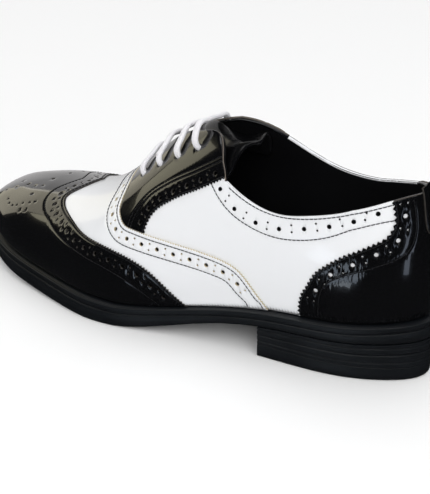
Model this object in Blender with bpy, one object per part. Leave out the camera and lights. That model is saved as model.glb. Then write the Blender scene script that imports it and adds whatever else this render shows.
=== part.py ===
"""Wing-cap spectator shoe, left foot, in metres.

The toe points along -X, the outer side faces -Y, and the shoe stands on z = 0.
The upper is drawn on an unrolled last: a place on it is a point in the plan,
between the feather line (up = 0) and the ridge over the foot (up = 1).
"""
import math
from collections import namedtuple

import bpy
import numpy as np
from mathutils import Vector
from mathutils.geometry import delaunay_2d_cdt

# Overall sizes
LENGTH = 0.299
BALL_WIDTH = 0.090
INSTEP_HEIGHT = 0.126
HEEL_HEIGHT = 0.0205
TOE_SPRING = 0.013
SOLE_EDGE = 0.0125
WELT_MARGIN = 0.006
SIDE_BULGE = 0.004

# Leather, from the lining outwards
SHELL_WALL = 0.0020
SHELL_SINK = 0.0006
VAMP_THICK = 0.0009
CAP_THICK = 0.0007
FACING_THICK = 0.0006
TAB_THICK = 0.0008
TAB_CLEAR = 0.0007
TAB_STAND = 0.0025
LAYER_GAP = 0.0003

# Bottom
WELT_THICK = 0.0032
WELT_SEAT = 0.0032
EDGE_GROOVE = 0.0006
EDGE_ROUND = 0.0008
INSOLE_RISE = 0.0022
INSOLE_CLEAR = 0.0009
HEEL_LENGTH = 0.080
TOP_PIECE = 0.0072
HEEL_TAPER = 0.0006
HEEL_GROOVE = 0.0006

# Tongue and lace
TONGUE_THICK = 0.003
TONGUE_CLEAR = 0.0009
TONGUE_DROP = 0.0135
LACE_WIDTH = 0.0042
LACE_THICK = 0.0022
LACE_ARCH = 0.0026
LACE_CLEAR = 0.0006

# Fineness of the faceted solids
SIDE_COLUMNS = 17
TOE_SECTORS = 14
HEEL_SECTORS = 12
ROWS = (0.0, 0.015, 0.045, 0.085, 0.14, 0.205, 0.28, 0.37, 0.475, 0.59, 0.72, 0.86, 1.0)
SOLE_STATIONS = 80
SOLE_COLUMNS = 22
HEEL_COLUMNS = 7
SOLE_ROWS = 3
BREAST_POINTS = 6
LACE_ON_FACING = 4
LACE_ACROSS = 8
LACE_SIDES = 6
LINE_SAMPLES = 400
CUT_STEP = 0.0075
FAN_CUTS = 3.0
FAN_OVERLAP = 0.04
TUCK = 0.075
CUT_CLEAR = 0.0001


def table(columns, *rows):
    row = namedtuple("Row", columns)
    return [row(*values) for values in rows]


# Feather line: half widths as shares of BALL_WIDTH
FEATHER = table(
    "share near far",
    (0.069, 0.173, 0.240), (0.150, 0.275, 0.312), (0.261, 0.320, 0.326), (0.372, 0.372, 0.305),
    (0.483, 0.455, 0.303), (0.584, 0.511, 0.373), (0.675, 0.487, 0.470), (0.766, 0.433, 0.512),
    (0.847, 0.357, 0.486), (0.917, 0.239, 0.404), (0.963, 0.098, 0.299))
HEEL_BACK = (0.0155, 0.021)
TOE_TIP = (0.979, 0.217)

# Sections of the last: ridge height as a share of INSTEP_HEIGHT, its place as a share of
# BALL_WIDTH, the powers of the section's curve, and its swell as a share of SIDE_BULGE
SECTIONS = table(
    "share ridge shift side top bulge",
    (0.000, 0.988, 0.021, 2.4, 2.4, 1.0), (0.119, 0.989, 0.021, 2.4, 2.4, 1.0),
    (0.241, 1.000, 0.032, 2.2, 2.3, 1.0), (0.362, 0.968, 0.054, 2.0, 2.2, 1.0),
    (0.443, 0.885, 0.060, 1.8, 2.1, 1.0), (0.524, 0.731, 0.060, 1.8, 2.1, 1.0),
    (0.604, 0.565, 0.052, 1.9, 2.1, 1.0), (0.705, 0.446, 0.047, 2.1, 2.1, 1.0),
    (0.806, 0.399, 0.060, 2.3, 2.2, 0.875), (1.000, 0.342, 0.070, 2.3, 2.2, 0.75))

# Bottom line: heel rise, toe rise, edge thickness and welt margin as shares of their sizes
LEVELS = table(
    "share heel spring thick margin",
    (0.000, 1.085, 0.000, 0.840, 0.750), (0.119, 0.980, 0.000, 0.690, 0.670),
    (0.251, 0.895, 0.000, 0.640, 0.670), (0.352, 0.631, 0.000, 0.675, 0.660),
    (0.453, 0.235, 0.000, 0.840, 0.770), (0.544, 0.000, 0.000, 0.975, 0.990),
    (0.604, 0.000, 0.000, 1.020, 1.050), (0.705, 0.000, 0.100, 1.068, 0.970),
    (0.786, 0.000, 0.217, 1.068, 0.950), (0.887, 0.000, 0.475, 1.023, 1.000),
    (1.000, 0.000, 1.000, 0.923, 1.020))
TOE_FAN = 0.806
HEEL_FAN = 0.1245

# Lines on the last: along is a share of LENGTH at the feather, up runs from feather to ridge
TOPLINE_NEAR = table(
    "along up",
    (0.0165, 0.416), (0.030, 0.412), (0.050, 0.402), (0.070, 0.387), (0.090, 0.370), (0.110, 0.353),
    (0.125, 0.344), (0.160, 0.331), (0.200, 0.315), (0.235, 0.308), (0.271, 0.321), (0.300, 0.352),
    (0.321, 0.386), (0.335, 0.414), (0.347, 0.443))
TOPLINE_FAR = table(
    "along up",
    (0.0165, 0.416), (0.030, 0.405), (0.050, 0.389), (0.070, 0.374), (0.090, 0.360), (0.120, 0.343),
    (0.160, 0.337), (0.200, 0.347), (0.235, 0.371), (0.271, 0.424), (0.300, 0.481), (0.321, 0.532),
    (0.345, 0.598), (0.362, 0.648), (0.378, 0.687), (0.400, 0.728))
FACING_REAR = table(
    "along up",
    (0.347, 0.443), (0.352, 0.485), (0.360, 0.533), (0.366, 0.588), (0.373, 0.642), (0.381, 0.682),
    (0.390, 0.710), (0.402, 0.735))
THROAT_NEAR = table(
    "along up",
    (0.402, 0.735), (0.422, 0.763), (0.435, 0.784), (0.448, 0.808), (0.506, 0.885), (0.545, 0.915),
    (0.574, 0.930))
THROAT_FAR = table(
    "along up",
    (0.400, 0.728), (0.422, 0.763), (0.448, 0.808), (0.506, 0.885), (0.545, 0.915), (0.574, 0.930))
VAMP_EDGE = table(
    "along up",
    (0.232, -0.080), (0.251, -0.005), (0.272, 0.045), (0.296, 0.101), (0.334, 0.151), (0.387, 0.202),
    (0.446, 0.269), (0.486, 0.319), (0.515, 0.361), (0.535, 0.402), (0.549, 0.462), (0.557, 0.513),
    (0.560, 0.563), (0.562, 0.613), (0.569, 0.723), (0.579, 0.832), (0.588, 1.000))
CAP_EDGE = table(
    "along up",
    (0.375, -0.080), (0.401, -0.005), (0.421, 0.042), (0.463, 0.143), (0.521, 0.244), (0.603, 0.361),
    (0.646, 0.437), (0.694, 0.546), (0.722, 0.630), (0.733, 0.710), (0.724, 0.800), (0.697, 1.000))
EYESTAY_NEAR = table(
    "along up",
    (0.480, 0.240), (0.486, 0.335), (0.482, 0.375), (0.472, 0.408), (0.457, 0.422), (0.431, 0.430),
    (0.399, 0.431), (0.372, 0.438), (0.350, 0.450), (0.340, 0.458))
EYESTAY_FAR = table(
    "along up",
    (0.480, 0.240), (0.486, 0.335), (0.482, 0.375), (0.472, 0.408), (0.457, 0.425), (0.431, 0.438),
    (0.399, 0.450), (0.372, 0.468), (0.345, 0.497), (0.315, 0.555))
COUNTER_EDGE = table(
    "along up",
    (0.199, -0.080), (0.199, 0.017), (0.196, 0.050), (0.187, 0.084), (0.176, 0.122), (0.159, 0.156),
    (0.140, 0.182), (0.118, 0.208), (0.098, 0.232), (0.080, 0.254), (0.069, 0.285), (0.065, 0.315),
    (0.066, 0.350), (0.070, 0.470))
TONGUE_EDGE = table(
    "along up",
    (0.640, 1.000), (0.632, 0.900), (0.610, 0.790), (0.570, 0.680), (0.500, 0.590), (0.420, 0.530),
    (0.378, 0.485), (0.360, 0.458), (0.350, 0.470), (0.345, 0.560), (0.343, 0.760), (0.343, 1.000))
BACK_TAB = table(
    "along up",
    (0.0156, 0.250), (0.0185, 0.251), (0.0225, 0.258), (0.0262, 0.285), (0.0262, 0.350), (0.0250, 0.416))
EYESTAY_FRONT = 0.64
BY_RIDGE = 0.99
FREE_FROM = 0.425
FREE_RUN = 0.085
FREE_SIDE = 0.45
EYELETS = table("along up", (0.538, 0.686), (0.499, 0.668), (0.459, 0.650), (0.419, 0.640))

# Profiles: drop is a share of the piece's height from its top, inset a share of a named size
SOLE_SIDE = table(
    "drop groove round",
    (0.00, 1.0, 0.0), (0.10, 1.0, 0.0), (0.16, 0.0, 0.0), (0.90, 0.0, 0.0), (1.00, 0.0, 1.0))
WELT_SIDE = table("drop round", (0.0, 1.0), (0.25, 0.0), (1.0, 0.0))
TOP_PIECE_SIDE = table("drop round", (0.0, 0.0), (0.85, 0.0), (1.0, 1.0))
HEEL_GROOVES = (0.20, 0.54, 0.84)
GROOVE_HALF = 0.028


def spline(knots, values, closed=False):
    """Cubic curve through the values, natural at its ends or closed."""
    t = np.asarray(knots, float)
    p = np.asarray(values, float)
    h = np.diff(t)
    last = len(t) - 1
    system = np.zeros((last + 1, last + 1))
    right = np.zeros((last + 1,) + p.shape[1:])
    for i in range(1, last):
        system[i, i - 1:i + 2] = h[i - 1], 2 * (h[i - 1] + h[i]), h[i]
        right[i] = 6 * ((p[i + 1] - p[i]) / h[i] - (p[i] - p[i - 1]) / h[i - 1])
    if closed:
        system[0, 0], system[0, last] = 1, -1
        system[last, :2] += 2 * h[0], h[0]
        system[last, last - 1:] += h[-1], 2 * h[-1]
        right[last] = 6 * ((p[1] - p[0]) / h[0] - (p[last] - p[last - 1]) / h[-1])
    else:
        system[0, 0] = system[last, last] = 1
    bend = np.linalg.solve(system, right)

    def at(x):
        x = np.asarray(x, float)
        i = np.clip(np.searchsorted(t, x) - 1, 0, last - 1)
        w = t[i + 1] - t[i]
        a = (t[i + 1] - x) / w
        b = 1 - a
        if p.ndim > 1:
            a, b, w = a[..., None], b[..., None], w[..., None]
        curved = (a**3 - a) * bend[i] + (b**3 - b) * bend[i + 1]
        return a * p[i] + b * p[i + 1] + curved * w * w / 6

    return at


def smooth(x):
    x = np.clip(x, 0, 1)
    return x * x * (3 - 2 * x)


def x_at(share):
    return LENGTH * (0.5 - np.asarray(share, float))


def share_at(x):
    return 0.5 - np.asarray(x, float) / LENGTH


def column(rows, name, size=1.0):
    """A table's column as a smooth function of x, in the unit of size."""
    shares = [row.share for row in rows]
    curve = spline(shares, [getattr(row, name) * size for row in rows])
    return lambda x: curve(np.clip(share_at(x), shares[0], shares[-1]))


ridge = column(SECTIONS, "ridge", INSTEP_HEIGHT)
shift = column(SECTIONS, "shift", BALL_WIDTH)
side_power = column(SECTIONS, "side")
top_power = column(SECTIONS, "top")
bulge = column(SECTIONS, "bulge", SIDE_BULGE)
heel_rise = column(LEVELS, "heel", HEEL_HEIGHT)
toe_rise = column(LEVELS, "spring", TOE_SPRING)
edge_height = column(LEVELS, "thick", SOLE_EDGE)
margin = column(LEVELS, "margin", WELT_MARGIN)
TREAD_FLAT = [float(x_at(row.share)) for row in LEVELS if row.heel == 0 and row.spring == 0]


def sole_bottom(x):
    return np.maximum(heel_rise(x) + toe_rise(x), 0)


def sole_top(x):
    return sole_bottom(x) + edge_height(x)


def feather_curve(count):
    """The closed feather line in the plan: toe tip, near side, heel back, far side."""
    near = [(x_at(row.share), -row.near * BALL_WIDTH) for row in reversed(FEATHER)]
    far = [(x_at(row.share), row.far * BALL_WIDTH) for row in FEATHER]
    tip = (x_at(TOE_TIP[0]), TOE_TIP[1] * BALL_WIDTH)
    back = (x_at(HEEL_BACK[0]), HEEL_BACK[1] * BALL_WIDTH)
    points = np.array([tip, *near, back, *far, tip])
    knots = np.concatenate([[0], np.cumsum(np.linalg.norm(np.diff(points, axis=0), axis=1) ** 0.5)])
    return spline(knots, points, closed=True)(np.linspace(0, knots[-1], count + 1)[:-1])


OUTLINE = feather_curve(800)
TOE_X = x_at(TOE_FAN)
HEEL_X = x_at(HEEL_FAN)


def spine(x):
    """Plan point under the ridge, held between the toe's and the heel's fan centres."""
    held = np.clip(x, TOE_X, HEEL_X)
    return np.stack([held, shift(held)], -1)


def fan_radius(centre_x, way):
    """Radius of the feather line by angle round a fan's centre."""
    offset = OUTLINE - spine(centre_x)
    kept = offset[offset[:, 0] * way >= -FAN_OVERLAP * LENGTH]
    angle = np.arctan2(kept[:, 1], kept[:, 0] * way)
    order = np.argsort(angle)
    return angle[order], np.hypot(kept[order, 0], kept[order, 1])


def side_line(side):
    kept = OUTLINE[(OUTLINE[:, 1] - shift(OUTLINE[:, 0])) * side > 0]
    kept = kept[np.argsort(kept[:, 0])]
    return kept[:, 0], kept[:, 1]


TOE_RADIUS = fan_radius(TOE_X, -1)
HEEL_RADIUS = fan_radius(HEEL_X, 1)
SIDE_LINES = {-1: side_line(-1), 1: side_line(1)}


def foot(q):
    """Spine point, direction, radius to the feather line, and share of that radius."""
    x, y = q[..., 0], q[..., 1]
    base = spine(x)
    offset = q - base
    reach = np.hypot(offset[..., 0], offset[..., 1])
    side = np.where(y < base[..., 1], -1.0, 1.0)
    straight = np.stack([0 * x, side], -1)
    way = np.where((reach > 1e-9)[..., None], offset / np.maximum(reach, 1e-9)[..., None], straight)
    line = np.where(side < 0, np.interp(x, *SIDE_LINES[-1]), np.interp(x, *SIDE_LINES[1]))
    toe = np.interp(np.arctan2(offset[..., 1], -offset[..., 0]), *TOE_RADIUS)
    heel = np.interp(np.arctan2(offset[..., 1], offset[..., 0]), *HEEL_RADIUS)
    radius = np.where(x < TOE_X, toe, np.where(x > HEEL_X, heel, np.abs(line - base[..., 1])))
    return base, way, radius, reach / radius


RIDGE_SLOPE = float(ridge(TOE_X + 1e-4) - ridge(TOE_X - 1e-4)) / 2e-4


def surface(q):
    """The last's skin over plan points q."""
    base, way, radius, share = foot(q)
    feather = base + way * radius[..., None]
    low = sole_top(feather[..., 0]) + LAYER_GAP
    high = ridge(base[..., 0]) - low
    out = np.sin(np.clip(share, 0, 1) * math.pi / 2)
    rise = np.maximum(1 - out ** side_power(base[..., 0]), 0) ** (1 / top_power(base[..., 0]))
    reach = radius * out + bulge(base[..., 0]) * np.sin(math.pi * rise**0.6)
    slope = np.where(q[..., 0] < TOE_X, RIDGE_SLOPE * way[..., 0] * reach * rise**2, 0)
    plan = base + way * reach[..., None]
    return np.concatenate([plan, (low + high * rise + slope)[..., None]], -1)


def skin(q, offset):
    """The last's skin moved outwards by offset, standing flat on the welt."""
    step = 2e-4
    ex, ey = np.array([step, 0]), np.array([0, step])
    normal = np.cross(surface(q + ex) - surface(q - ex), surface(q + ey) - surface(q - ey))
    normal /= np.linalg.norm(normal, axis=-1, keepdims=True)
    up = 1 - foot(q)[3]
    normal[..., 2] *= smooth(up / TUCK)
    normal /= np.linalg.norm(normal, axis=-1, keepdims=True)
    place = surface(q) + normal * np.asarray(offset)[..., None]
    seat = sole_top(place[..., 0]) + LAYER_GAP
    place[..., 2] = np.where(up < 1e-4, seat, np.maximum(place[..., 2], seat))
    return place


def plan(along, up, side):
    """Plan point at a share of the length and a share of the way up one side."""
    x = x_at(along)
    line = SIDE_LINES[side]
    at_feather = np.stack([x, np.interp(x, *line)], -1)
    base = spine(x)
    return base + (at_feather - base) * (1 - np.asarray(up, float))[..., None]


def drawn(rows, side, lead=0.0):
    """A table's line on one side, smooth, with a point about every CUT_STEP, closer in the fans."""
    points = plan([row.along + lead for row in rows], [row.up for row in rows], side)
    knots = np.concatenate([[0], np.cumsum(np.linalg.norm(np.diff(points, axis=0), axis=1))])
    curve = spline(knots, points)
    fine = np.linspace(0, knots[-1], LINE_SAMPLES)
    middle = curve((fine[1:] + fine[:-1]) / 2)[:, 0]
    closer = np.where((middle > HEEL_X) | (middle < TOE_X), FAN_CUTS, 1.0)
    effort = np.concatenate([[0], np.cumsum(np.diff(fine) * closer)])
    count = max(2, round(effort[-1] / CUT_STEP))
    return curve(np.interp(np.linspace(0, effort[-1], count + 1), effort, fine))


def chain(*lines):
    """Lines joined end to end into one loop, without doubled points."""
    points = np.concatenate(lines)
    gap = np.linalg.norm(points - np.roll(points, 1, axis=0), axis=1)
    return points[gap > CUT_CLEAR / 2]


def spokes():
    """Feather points round the shoe, one for each spoke of the last's grid."""
    ring = []
    for i in range(TOE_SECTORS):
        angle = math.pi * (0.5 - i / TOE_SECTORS)
        radius = np.interp(angle, *TOE_RADIUS)
        ring.append(spine(TOE_X) + radius * np.array([-math.cos(angle), math.sin(angle)]))
    sides = np.linspace(TOE_X, HEEL_X, SIDE_COLUMNS + 1)[:-1]
    ring += [(x, np.interp(x, *SIDE_LINES[-1])) for x in sides]
    for i in range(HEEL_SECTORS):
        angle = math.pi * (i / HEEL_SECTORS - 0.5)
        radius = np.interp(angle, *HEEL_RADIUS)
        ring.append(spine(HEEL_X) + radius * np.array([math.cos(angle), math.sin(angle)]))
    ring += [(x, np.interp(x, *SIDE_LINES[1])) for x in np.linspace(HEEL_X, TOE_X, SIDE_COLUMNS + 1)[:-1]]
    return np.array(ring)


RING = spokes()


def inside(loop, points):
    """Which points lie inside a closed loop."""
    x, y = points[:, 0, None], points[:, 1, None]
    x0, y0 = loop[:, 0], loop[:, 1]
    x1, y1 = np.roll(x0, -1), np.roll(y0, -1)
    crosses = (y0 > y) != (y1 > y)
    rise = np.where(y1 == y0, 1, y1 - y0)
    return (crosses & (x < x0 + (y - y0) / rise * (x1 - x0))).sum(1) % 2 == 1


def near_loop(loop, points):
    """Distance from each point to the loop."""
    a, b = loop, np.roll(loop, -1, axis=0)
    along = b - a
    t = ((points[:, None] - a) * along).sum(2) / np.maximum((along**2).sum(1), 1e-12)
    foot_point = a + np.clip(t, 0, 1)[..., None] * along
    return np.linalg.norm(points[:, None] - foot_point, axis=2).min(1)


def triangulate(points, edges):
    """Constrained triangles over plan points."""
    found = delaunay_2d_cdt([Vector(p) for p in points], edges, [], 0, 2e-5)
    return np.array([tuple(v) for v in found[0]]), [tuple(face) for face in found[2]]


def grid_with(loops):
    """The last's grid and the loops cut into it, as one set of triangles."""
    base = spine(RING[:, 0])
    count, rows = len(RING), len(ROWS)
    grid = np.array([base + (RING - base) * (1 - up) for up in ROWS])
    points = list(grid.reshape(-1, 2))
    free = np.ones(len(points), bool)
    for loop in loops:
        free[count:] &= near_loop(loop, np.array(points[count:])) > CUT_CLEAR
    edges = []
    for row in range(rows):
        for i in range(count):
            after = (i + 1) % count
            edges.append((row * count + i, row * count + after))
            if row + 1 < rows:
                edges.append((row * count + i, (row + 1) * count + i))
                edges.append((row * count + i, (row + 1) * count + after))
    edges = [pair for pair in edges if free[pair[0]] and free[pair[1]]]
    for loop in loops:
        start = len(points)
        points.extend(loop)
        edges += [(start + i, start + (i + 1) % len(loop)) for i in range(len(loop))]
    order = {}
    kept = []
    for i, point in enumerate(points):
        if i >= len(free) or free[i]:
            order[i] = len(kept)
            kept.append(point)
    edges = [(order[a], order[b]) for a, b in edges if np.linalg.norm(points[a] - points[b]) > 1e-6]
    return triangulate(kept, edges)


def make_object(name, points, faces, colour, roughness, crease=35.0):
    mesh = bpy.data.meshes.new(name)
    mesh.from_pydata([tuple(p) for p in points], [], faces)
    mesh.validate()
    mesh.shade_smooth()
    mesh.set_sharp_from_angle(angle=math.radians(crease))
    material = bpy.data.materials.new(name)
    material.use_nodes = True
    shader = material.node_tree.nodes["Principled BSDF"]
    shader.inputs["Base Color"].default_value = (*colour, 1)
    shader.inputs["Roughness"].default_value = roughness
    shader.inputs["Metallic"].default_value = 0.0
    mesh.materials.append(material)
    made = bpy.data.objects.new(name, mesh)
    bpy.context.collection.objects.link(made)
    return made


def leather(name, loop, inner, outer, colour, roughness, holes=(), place=skin):
    """A curved panel between two offsets of the last, cut to the loop and clear of the holes."""
    points, triangles = grid_with([loop, *holes])
    middle = np.array([points[list(face)].mean(0) for face in triangles])
    kept = inside(loop, middle) & inside(RING, middle)
    for hole in holes:
        kept &= ~inside(hole, middle)
    triangles = [face for face, keep in zip(triangles, kept) if keep]
    used = sorted({i for face in triangles for i in face})
    order = {old: new for new, old in enumerate(used)}
    triangles = [tuple(order[i] for i in face) for face in triangles]
    flat = points[used]
    count = len(used)
    rim = {(a, b) for face in triangles for a, b in zip(face, face[1:] + face[:1])}
    faces = list(triangles) + [tuple(i + count for i in reversed(face)) for face in triangles]
    for a, b in sorted(rim):
        if (b, a) not in rim:
            faces.append((b, a, a + count, b + count))
    solid = np.concatenate([place(flat, outer), place(flat, inner)])
    return make_object(name, solid, faces, colour, roughness)


BLACK = (0.012, 0.012, 0.013)
WHITE = (0.82, 0.83, 0.85)
RUBBER = (0.010, 0.011, 0.013)
LINING = (0.015, 0.015, 0.016)
LACE_WHITE = (0.80, 0.80, 0.82)
SHELL_IN = -(SHELL_SINK + SHELL_WALL)
LAYER_IN = LAYER_GAP - SHELL_SINK
VAMP_OUT = LAYER_IN + VAMP_THICK
FACING_OUT = LAYER_IN + FACING_THICK
CAP_IN = VAMP_OUT + LAYER_GAP
TAB_IN = FACING_OUT + TAB_CLEAR


def both_sides(rows, lead=0.0):
    """A line from the near feather over the ridge to the far feather."""
    near = drawn(rows, -1, lead)
    return near, drawn(rows, 1, lead)[::-1]


def opening():
    """The collar and the throat between the facings, as one loop."""
    near = [drawn(TOPLINE_NEAR, -1), drawn(FACING_REAR, -1), drawn(THROAT_NEAR, -1)]
    far = [drawn(TOPLINE_FAR, 1), drawn(THROAT_FAR, 1)]
    return chain(*near, *[line[::-1] for line in reversed(far)])


def toe_side(rows, lead=0.0):
    """The loop in front of a line: it runs round outside the toe."""
    near, far = both_sides(rows, lead)
    reach = LENGTH
    ahead = np.array([(near[0, 0], -reach), (-reach, -reach), (-reach, reach), (far[-1, 0], reach)])
    return chain(near, far, ahead[::-1])


def heel_side(rows):
    near, far = both_sides(rows)
    reach = LENGTH
    behind = np.array([(near[0, 0], -reach), (reach, -reach), (reach, reach), (far[-1, 0], reach)])
    return chain(near, far, behind[::-1])


def upper(hole):
    reach = LENGTH
    around = np.array([(-reach, -reach), (reach, -reach), (reach, reach), (-reach, reach)])
    leather("upper", around, SHELL_IN, -SHELL_SINK, WHITE, 0.12, holes=[hole])


def vamp(hole):
    leather("vamp", toe_side(VAMP_EDGE), LAYER_IN, VAMP_OUT, WHITE, 0.10, holes=[hole])


def wing_cap():
    leather("wing_cap", toe_side(CAP_EDGE), CAP_IN, CAP_IN + CAP_THICK, BLACK, 0.08)


def heel_counter(hole):
    leather("heel_counter", heel_side(COUNTER_EDGE), LAYER_IN, FACING_OUT, BLACK, 0.08, holes=[hole])


def eyestay(name, rows, side, hole):
    """The facing that carries the eyelets, butted against the vamp's rear edge."""
    seam = LAYER_GAP * 2 / LENGTH
    front = EYESTAY_FRONT
    rest = plan([rows[-1].along, front, front], [BY_RIDGE, BY_RIDGE, rows[0].up], side)
    leather(name, chain(drawn(rows, side), rest), LAYER_IN, FACING_OUT, BLACK, 0.08,
            holes=[hole, toe_side(VAMP_EDGE, -seam)])


def back_tab():
    """The strip over the heel's seam, standing a little above the collar."""
    side = BACK_TAB + [BACK_TAB[-1]._replace(up=BACK_TAB[-1].up + TAB_STAND / INSTEP_HEIGHT)]
    back = side[0].along
    corner = side[-1]
    top = [corner._replace(along=back + (corner.along - back) * t * t) for t in (1.0, 0.66, 0.33, 0.0)]
    near = chain(drawn(side, -1), drawn(top, -1))
    far = chain(drawn(side, 1), drawn(top, 1))
    loop = chain(near, far[::-1])
    leather("back_tab", loop, TAB_IN, TAB_IN + TAB_THICK, BLACK, 0.10)


def tongue():
    """A padded sheet under the facings; its top stands free, lower than the closed last."""
    inside_wall = SHELL_IN - TONGUE_CLEAR

    def place(q, offset):
        point = skin(q, offset)
        up = 1 - foot(q)[3]
        back = smooth((FREE_FROM - share_at(q[..., 0])) / FREE_RUN)
        point[..., 2] -= TONGUE_DROP * back * smooth((up - FREE_SIDE) / (BY_RIDGE - FREE_SIDE))
        return point

    near, far = both_sides(TONGUE_EDGE)
    leather("tongue", chain(near, drawn(TONGUE_EDGE, 1)[::-1]), inside_wall - TONGUE_THICK, inside_wall,
            BLACK, 0.15, place=place)


def lace_bar(index, eyelet):
    """One straight bar from the near eyelet to the far one, an oval cord."""
    lift = FACING_OUT + LACE_CLEAR + LACE_THICK / 2
    ends = []
    for side, throat in ((-1, THROAT_NEAR), (1, THROAT_FAR)):
        edge = np.interp(eyelet.along, [row.along for row in throat], [row.up for row in throat])
        ups = np.linspace(eyelet.up, edge, LACE_ON_FACING)
        route = plan(np.full(LACE_ON_FACING, eyelet.along), ups, side)
        ends.append((skin(route, lift), skin(route, lift + 1e-3)))
    across = np.linspace(0, 1, LACE_ACROSS)[1:-1, None]
    rows = []
    for near, far in zip(*ends):
        bridge = near[-1] + (far[-1] - near[-1]) * across
        bridge[:, 2] += 4 * LACE_ARCH * (across * (1 - across))[:, 0]
        rows.append(np.concatenate([near, bridge, far[::-1]]))
    centre, above = rows
    turns = len(centre) - 1
    ahead = np.gradient(centre, axis=0)
    ahead /= np.linalg.norm(ahead, axis=1, keepdims=True)
    out = above - centre
    out -= (out * ahead).sum(1, keepdims=True) * ahead
    out /= np.linalg.norm(out, axis=1, keepdims=True)
    wide = np.cross(out, ahead)
    points = []
    for i in range(turns + 1):
        for k in range(LACE_SIDES):
            angle = 2 * math.pi * k / LACE_SIDES
            flat = wide[i] * math.cos(angle) * LACE_WIDTH / 2
            points.append(centre[i] + flat + out[i] * math.sin(angle) * LACE_THICK / 2)
    faces = []
    for i in range(turns):
        for k in range(LACE_SIDES):
            a, b = i * LACE_SIDES + k, i * LACE_SIDES + (k + 1) % LACE_SIDES
            faces.append((a, b, b + LACE_SIDES, a + LACE_SIDES))
    faces.append(tuple(reversed(range(LACE_SIDES))))
    faces.append(tuple(turns * LACE_SIDES + k for k in range(LACE_SIDES)))
    make_object(f"lace_bar_{index}", points, faces, LACE_WHITE, 0.7, crease=50)


def moved_feather(distance):
    """The feather line moved outwards in the plan by a function of x."""
    curve = feather_curve(SOLE_STATIONS)
    ahead = np.roll(curve, -1, axis=0) - np.roll(curve, 1, axis=0)
    out = np.stack([ahead[:, 1], -ahead[:, 0]], -1)
    out /= np.linalg.norm(out, axis=1, keepdims=True)
    return curve + out * distance(curve[:, 0])[:, None]


def edge_loop(inset):
    """The sole's outline, inset from the welt's edge."""
    return moved_feather(lambda x: margin(x) - inset)


def seat_loop(inset):
    """The line inside the feather line, for what lies inside the upper."""
    return moved_feather(lambda x: 0 * x - inset)


def cap_faces(loop, columns):
    """Triangles over a loop, with cross lines so that they follow a curve along x."""
    points = list(loop)
    edges = [(i, (i + 1) % len(loop)) for i in range(len(loop))]
    rows = np.linspace(loop[:, 1].min(), loop[:, 1].max(), SOLE_ROWS + 2)[1:-1]
    cross = list(np.linspace(loop[:, 0].min(), loop[:, 0].max(), columns)[1:-1])
    cross += [x for x in TREAD_FLAT if loop[:, 0].min() < x < loop[:, 0].max()]
    grid = np.array([(x, y) for x in cross for y in rows])
    free = inside(loop, grid) & (near_loop(loop, grid) > CUT_STEP / 2)
    found, triangles = triangulate(points + list(grid[free]), edges)
    middle = np.array([found[list(face)].mean(0) for face in triangles])
    kept = inside(loop, middle)
    return found, [face for face, keep in zip(triangles, kept) if keep]


def plate(name, loops, heights, colour, roughness, columns=SOLE_COLUMNS, crease=35.0):
    """A closed body through loops of equal count, from its top loop to its bottom one.

    heights holds a function of x for each loop.
    """
    count = len(loops[0])
    points, faces = [], []
    for loop, height in zip(loops, heights):
        points += [(x, y, float(height(x))) for x, y in loop]
    for level in range(len(loops) - 1):
        for i in range(count):
            a, b = level * count + i, level * count + (i + 1) % count
            faces.append((b, a, a + count, b + count))
    for level, turn in ((0, 1), (len(loops) - 1, -1)):
        found, triangles = cap_faces(loops[level], columns)
        start = len(points)
        points += [(x, y, float(heights[level](x))) for x, y in found[count:]]
        for face in triangles:
            face = [level * count + i if i < count else start + i - count for i in face]
            faces.append(tuple(face[::turn]))
    make_object(name, points, faces, colour, roughness, crease)


def outsole():
    def height(drop):
        top = lambda x: sole_top(x) - WELT_THICK - LAYER_GAP
        return lambda x: top(x) + (sole_bottom(x) - top(x)) * drop

    loops = [edge_loop(row.groove * EDGE_GROOVE + row.round * EDGE_ROUND) for row in SOLE_SIDE]
    plate("outsole", loops, [height(row.drop) for row in SOLE_SIDE], RUBBER, 0.4)


def welt():
    """A ring under the upper's edge: its inner edge lies under the upper's wall."""
    outer = [edge_loop(row.round * EDGE_ROUND) for row in WELT_SIDE]
    inner = seat_loop(WELT_SEAT)
    loops = [*outer, inner, inner]
    drops = [row.drop for row in WELT_SIDE] + [1.0, 0.0]
    points, faces = [], []
    count = len(inner)
    for loop, drop in zip(loops, drops):
        points += [(x, y, float(sole_top(x)) - drop * WELT_THICK) for x, y in loop]
    for level in range(len(loops)):
        below = (level + 1) % len(loops)
        for i in range(count):
            j = (i + 1) % count
            faces.append((level * count + j, level * count + i, below * count + i, below * count + j))
    make_object("welt", points, faces, RUBBER, 0.35)


def insole():
    loop = seat_loop(WELT_SEAT + INSOLE_CLEAR)
    heights = [lambda x: sole_top(x) + INSOLE_RISE, lambda x: sole_top(x) - WELT_THICK]
    plate("insole", [loop, loop], heights, LINING, 0.6)


def heel_loop(inset):
    """The heel's D-shaped outline: round the back and straight across the breast."""
    loop = edge_loop(inset)
    breast = x_at(0) - HEEL_LENGTH
    middle = loop[loop[:, 0] > breast + CUT_STEP / 2]
    middle = middle[np.argsort(np.arctan2(middle[:, 1], middle[:, 0] - breast))]
    sides = []
    for side in (-1, 1):
        kept = loop[(loop[:, 1] * side > 0)]
        kept = kept[np.argsort(kept[:, 0])]
        sides.append((breast, np.interp(breast, kept[:, 0], kept[:, 1])))
    across = np.linspace(sides[1], sides[0], BREAST_POINTS)
    return np.concatenate([across[-1:], middle, across[:-1]])


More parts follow.
